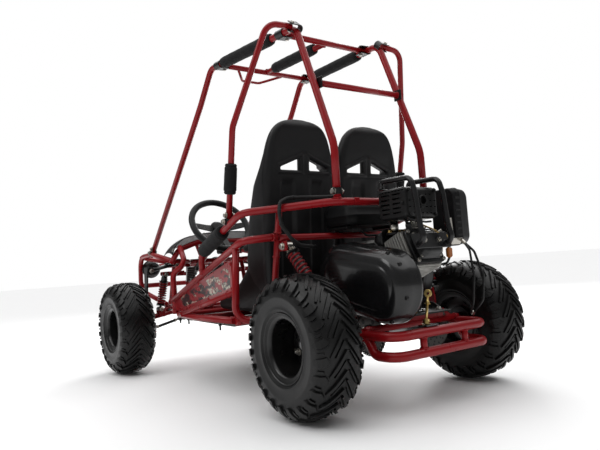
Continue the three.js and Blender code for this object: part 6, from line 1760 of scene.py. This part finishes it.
# belt and the two pulleys
o = Build()
o.tube([(40, -20, 352), (184, -20, 352)], 10.4, 1, sides=24, mat=STEEL)
o.ringp([(10.4, 0), (50, 0), (52, 1), (52, 4.4), (26, 17.5), (26, 24), (52, 37), (52, 42), (50, 44), (36, 50), (30, 52), (10.4, 52)], (122, -20, 352), X, 56, STEEL)
for k in range(3):
    a = 2 * math.pi * k / 3
    o.hexbolt((172, -20 + 22 * math.cos(a), 352 + 22 * math.sin(a)), X, 10, 5, False, ZINC)
o.make("clutch_sheaves", "drive_clutch", ["drive_clutch"], slot="steel")
o = Build()
o.tube([(88, 125, 340), (182, 125, 340)], 9.4, 1, sides=24, mat=STEEL)
o.ringp([(9.4, -3), (20, -3), (24, -1.6), (24, 1.6), (20, 3), (9.4, 3)], (94, 125, 340), X, 16, STEEL)
o.ringp([(9.4, 0), (68.5, 0), (70, 1), (70, 3.6), (38, 17), (38, 20), (70, 33), (70, 36), (68.5, 38), (40, 42), (30, 44), (9.4, 44)], (124, 125, 340), X, 72, STEEL)
for k in range(6):
    a = 2 * math.pi * k / 6
    o.ringp([(0.5, 42.6), (9, 42), (11, 39.2)], (124, 125 + 54 * math.cos(a), 340 + 54 * math.sin(a)), X, 18, DARKSTEEL)
o.make("driven_sheaves", "driven_pulley", ["driven_pulley"], slot="steel")
o = Build()
rows = []
R1, R2 = 44, 60
dy, dz = 145, -12
D = math.hypot(dy, dz); base = math.atan2(dz, dy); th = math.asin((R2 - R1) / D)
cl = []
for i in range(25):
    t = base + math.pi / 2 + th + (math.pi - 2 * th) * i / 24
    cl.append((-20 + R1 * math.cos(t), 352 + R1 * math.sin(t), t))
for i in range(33):
    t = base - math.pi / 2 - th + (math.pi + 2 * th) * i / 32
    cl.append((125 + R2 * math.cos(t), 340 + R2 * math.sin(t), t))
for y, z, t in cl + cl[:1]:
    d = Vector((0, math.cos(t), math.sin(t)))
    c = Vector((142.6, y, z))
    rows.append([P(c + d * 4 + X * 9.0), P(c + d * 4 - X * 9.0), P(c - d * 5 - X * 5.6), P(c - d * 5 + X * 5.6)])
o.grid(rows, True, False, False, False, RUBBER)
o.make("drive_belt", "swing_arm", slot="rubber")

# the two control cables, with ferrules
o = Build()
o.tube([(-150, 158, 430), (-158, 186, 400), (-165, 205, 330), (-160, 200, 262), (-150, 168, 224)], 3.4, [0, 25, 40, 30, 0], sides=12, step=6, mat=RUBBER)
o.tube([(-150, 158, 430), (-144, 182, 404), (-130, 200, 330), (-128, 192, 260), (-148, 164, 226)], 3.1, [0, 25, 40, 30, 0], sides=12, step=6, mat=RUBBER)
o.ringp([(0.5, -4), (5, -4), (5, 9), (3.6, 11), (0.5, 11)], (-150, 157, 431), (0, .68, -.73), 18, ZINC)
o.ringp([(0.5, -3), (5, -3), (5, 8), (0.5, 8)], (-149.4, 168, 225), (0, .6, .8), 18, ZINC)
o.make("cable_sleeves", "swing_arm", ["control_cables"], slot="rubber")
# cable bracket beside the carburettor
o = Build()
o.plate(rounded(40, 22, 4), (-132, 150, 432), (1, 0, 0), (0, .6, .8), 2.2, ZINC)
o.box((-108, 140, 430), (40, 12, 2.4), ch=.6, mat=ZINC)
o.make("cable_bracket", "swing_arm", slot="steel")

# ---------------------------------------------------------------- room, light and camera
me = bpy.data.meshes.new("floor")
E_ = 60.0
me.from_pydata([(-E_, -E_, 0), (E_, -E_, 0), (E_, E_, 0), (-E_, E_, 0)], [], [(0, 1, 2, 3)])
fl = bpy.data.objects.new("floor", me)
bpy.context.scene.collection.objects.link(fl)
fl.location.z = 0.0
FLM = bpy.data.materials.new("floor_white"); FLM.use_nodes = True
fb = FLM.node_tree.nodes["Principled BSDF"]
fb.inputs["Roughness"].default_value = 0.55
fn = FLM.node_tree.nodes.new("ShaderNodeTexNoise"); fn.inputs["Scale"].default_value = 0.6
fm = FLM.node_tree.nodes.new("ShaderNodeMix"); fm.data_type = "RGBA"
fm.inputs["A"].default_value = (0.95, 0.95, 0.95, 1); fm.inputs["B"].default_value = (0.93, 0.93, 0.935, 1)
FLM.node_tree.links.new(fn.outputs["Fac"], fm.inputs["Factor"])
FLM.node_tree.links.new(fm.outputs["Result"], fb.inputs["Base Color"])
me.materials.append(FLM)

world = bpy.data.worlds.new("studio"); bpy.context.scene.world = world
world.use_nodes = True
wt = world.node_tree
bg = wt.nodes["Background"]
bg.inputs["Color"].default_value = (1.0, 1.0, 1.0, 1)
# a plain white backdrop, and a dimmer white surround as the soft fill light
lp = wt.nodes.new("ShaderNodeLightPath")
st = wt.nodes.new("ShaderNodeMapRange")
st.inputs["To Min"].default_value = 0.24; st.inputs["To Max"].default_value = 1.0
wt.links.new(lp.outputs["Is Camera Ray"], st.inputs["Value"])
wt.links.new(st.outputs["Result"], bg.inputs["Strength"])


def area(name, loc, target, size, power, sy=None):
    ld = bpy.data.lights.new(name, "AREA")
    ld.shape = "RECTANGLE"; ld.size = size; ld.size_y = sy or size
    ld.energy = power
    lo = bpy.data.objects.new(name, ld)
    lo.location = loc
    d = Vector(target) - Vector(loc)
    lo.rotation_euler = d.to_track_quat("-Z", "Y").to_euler()
    bpy.context.scene.collection.objects.link(lo)
    return lo


def sun(name, direction, strength, angle):
    ld = bpy.data.lights.new(name, "SUN")
    ld.energy = strength; ld.angle = math.radians(angle)
    lo = bpy.data.objects.new(name, ld)
    lo.rotation_euler = Vector(direction).to_track_quat("-Z", "Y").to_euler()
    lo.location = (0, 0, 5)
    bpy.context.scene.collection.objects.link(lo)


# one big soft overhead source from behind and above, and softboxes for edge highlights
sun("overhead", (0.10, 0.10, -1.0), 2.6, 100)
area("rim", (-2.6, -2.6, 2.3), (0, 0, 0.5), 2.4, 90)
area("side", (3.0, -0.4, 2.8), (0, 0, 0.5), 1.4, 24)

cam = bpy.data.cameras.new("camera")
co = bpy.data.objects.new("camera", cam)
bpy.context.scene.collection.objects.link(co)
yaw, pitch, roll = 2.524512611084335, -0.07115001361692799, -0.07058818249839705
pos = Vector((1.1782976869571513, 1.2288471240025722 + 0.6273, 0.392791563045158))
bb = Vector((math.sin(yaw) * math.cos(pitch), -math.cos(yaw) * math.cos(pitch), math.sin(pitch)))
f = -bb
r_ = f.cross(Vector((0, 0, 1))).normalized()
u_ = r_.cross(f)
c_, s_ = math.cos(roll), math.sin(roll)
R_ = r_ * c_ + u_ * s_
U_ = r_ * -s_ + u_ * c_
M = Matrix(((R_.x, U_.x, -f.x, pos.x), (R_.y, U_.y, -f.y, pos.y), (R_.z, U_.z, -f.z, pos.z), (0, 0, 0, 1)))
co.matrix_world = M
cam.sensor_width = 36
cam.lens = 572.8290200778778 / 600 * 36
cam.clip_start = 0.01
cam.shift_x = (300 - 299.87464424816785) / 600
cam.shift_y = (225.03191941157055 - 225) / 600
bpy.context.scene.camera = co
bpy.context.scene.view_settings.view_transform = "Standard"
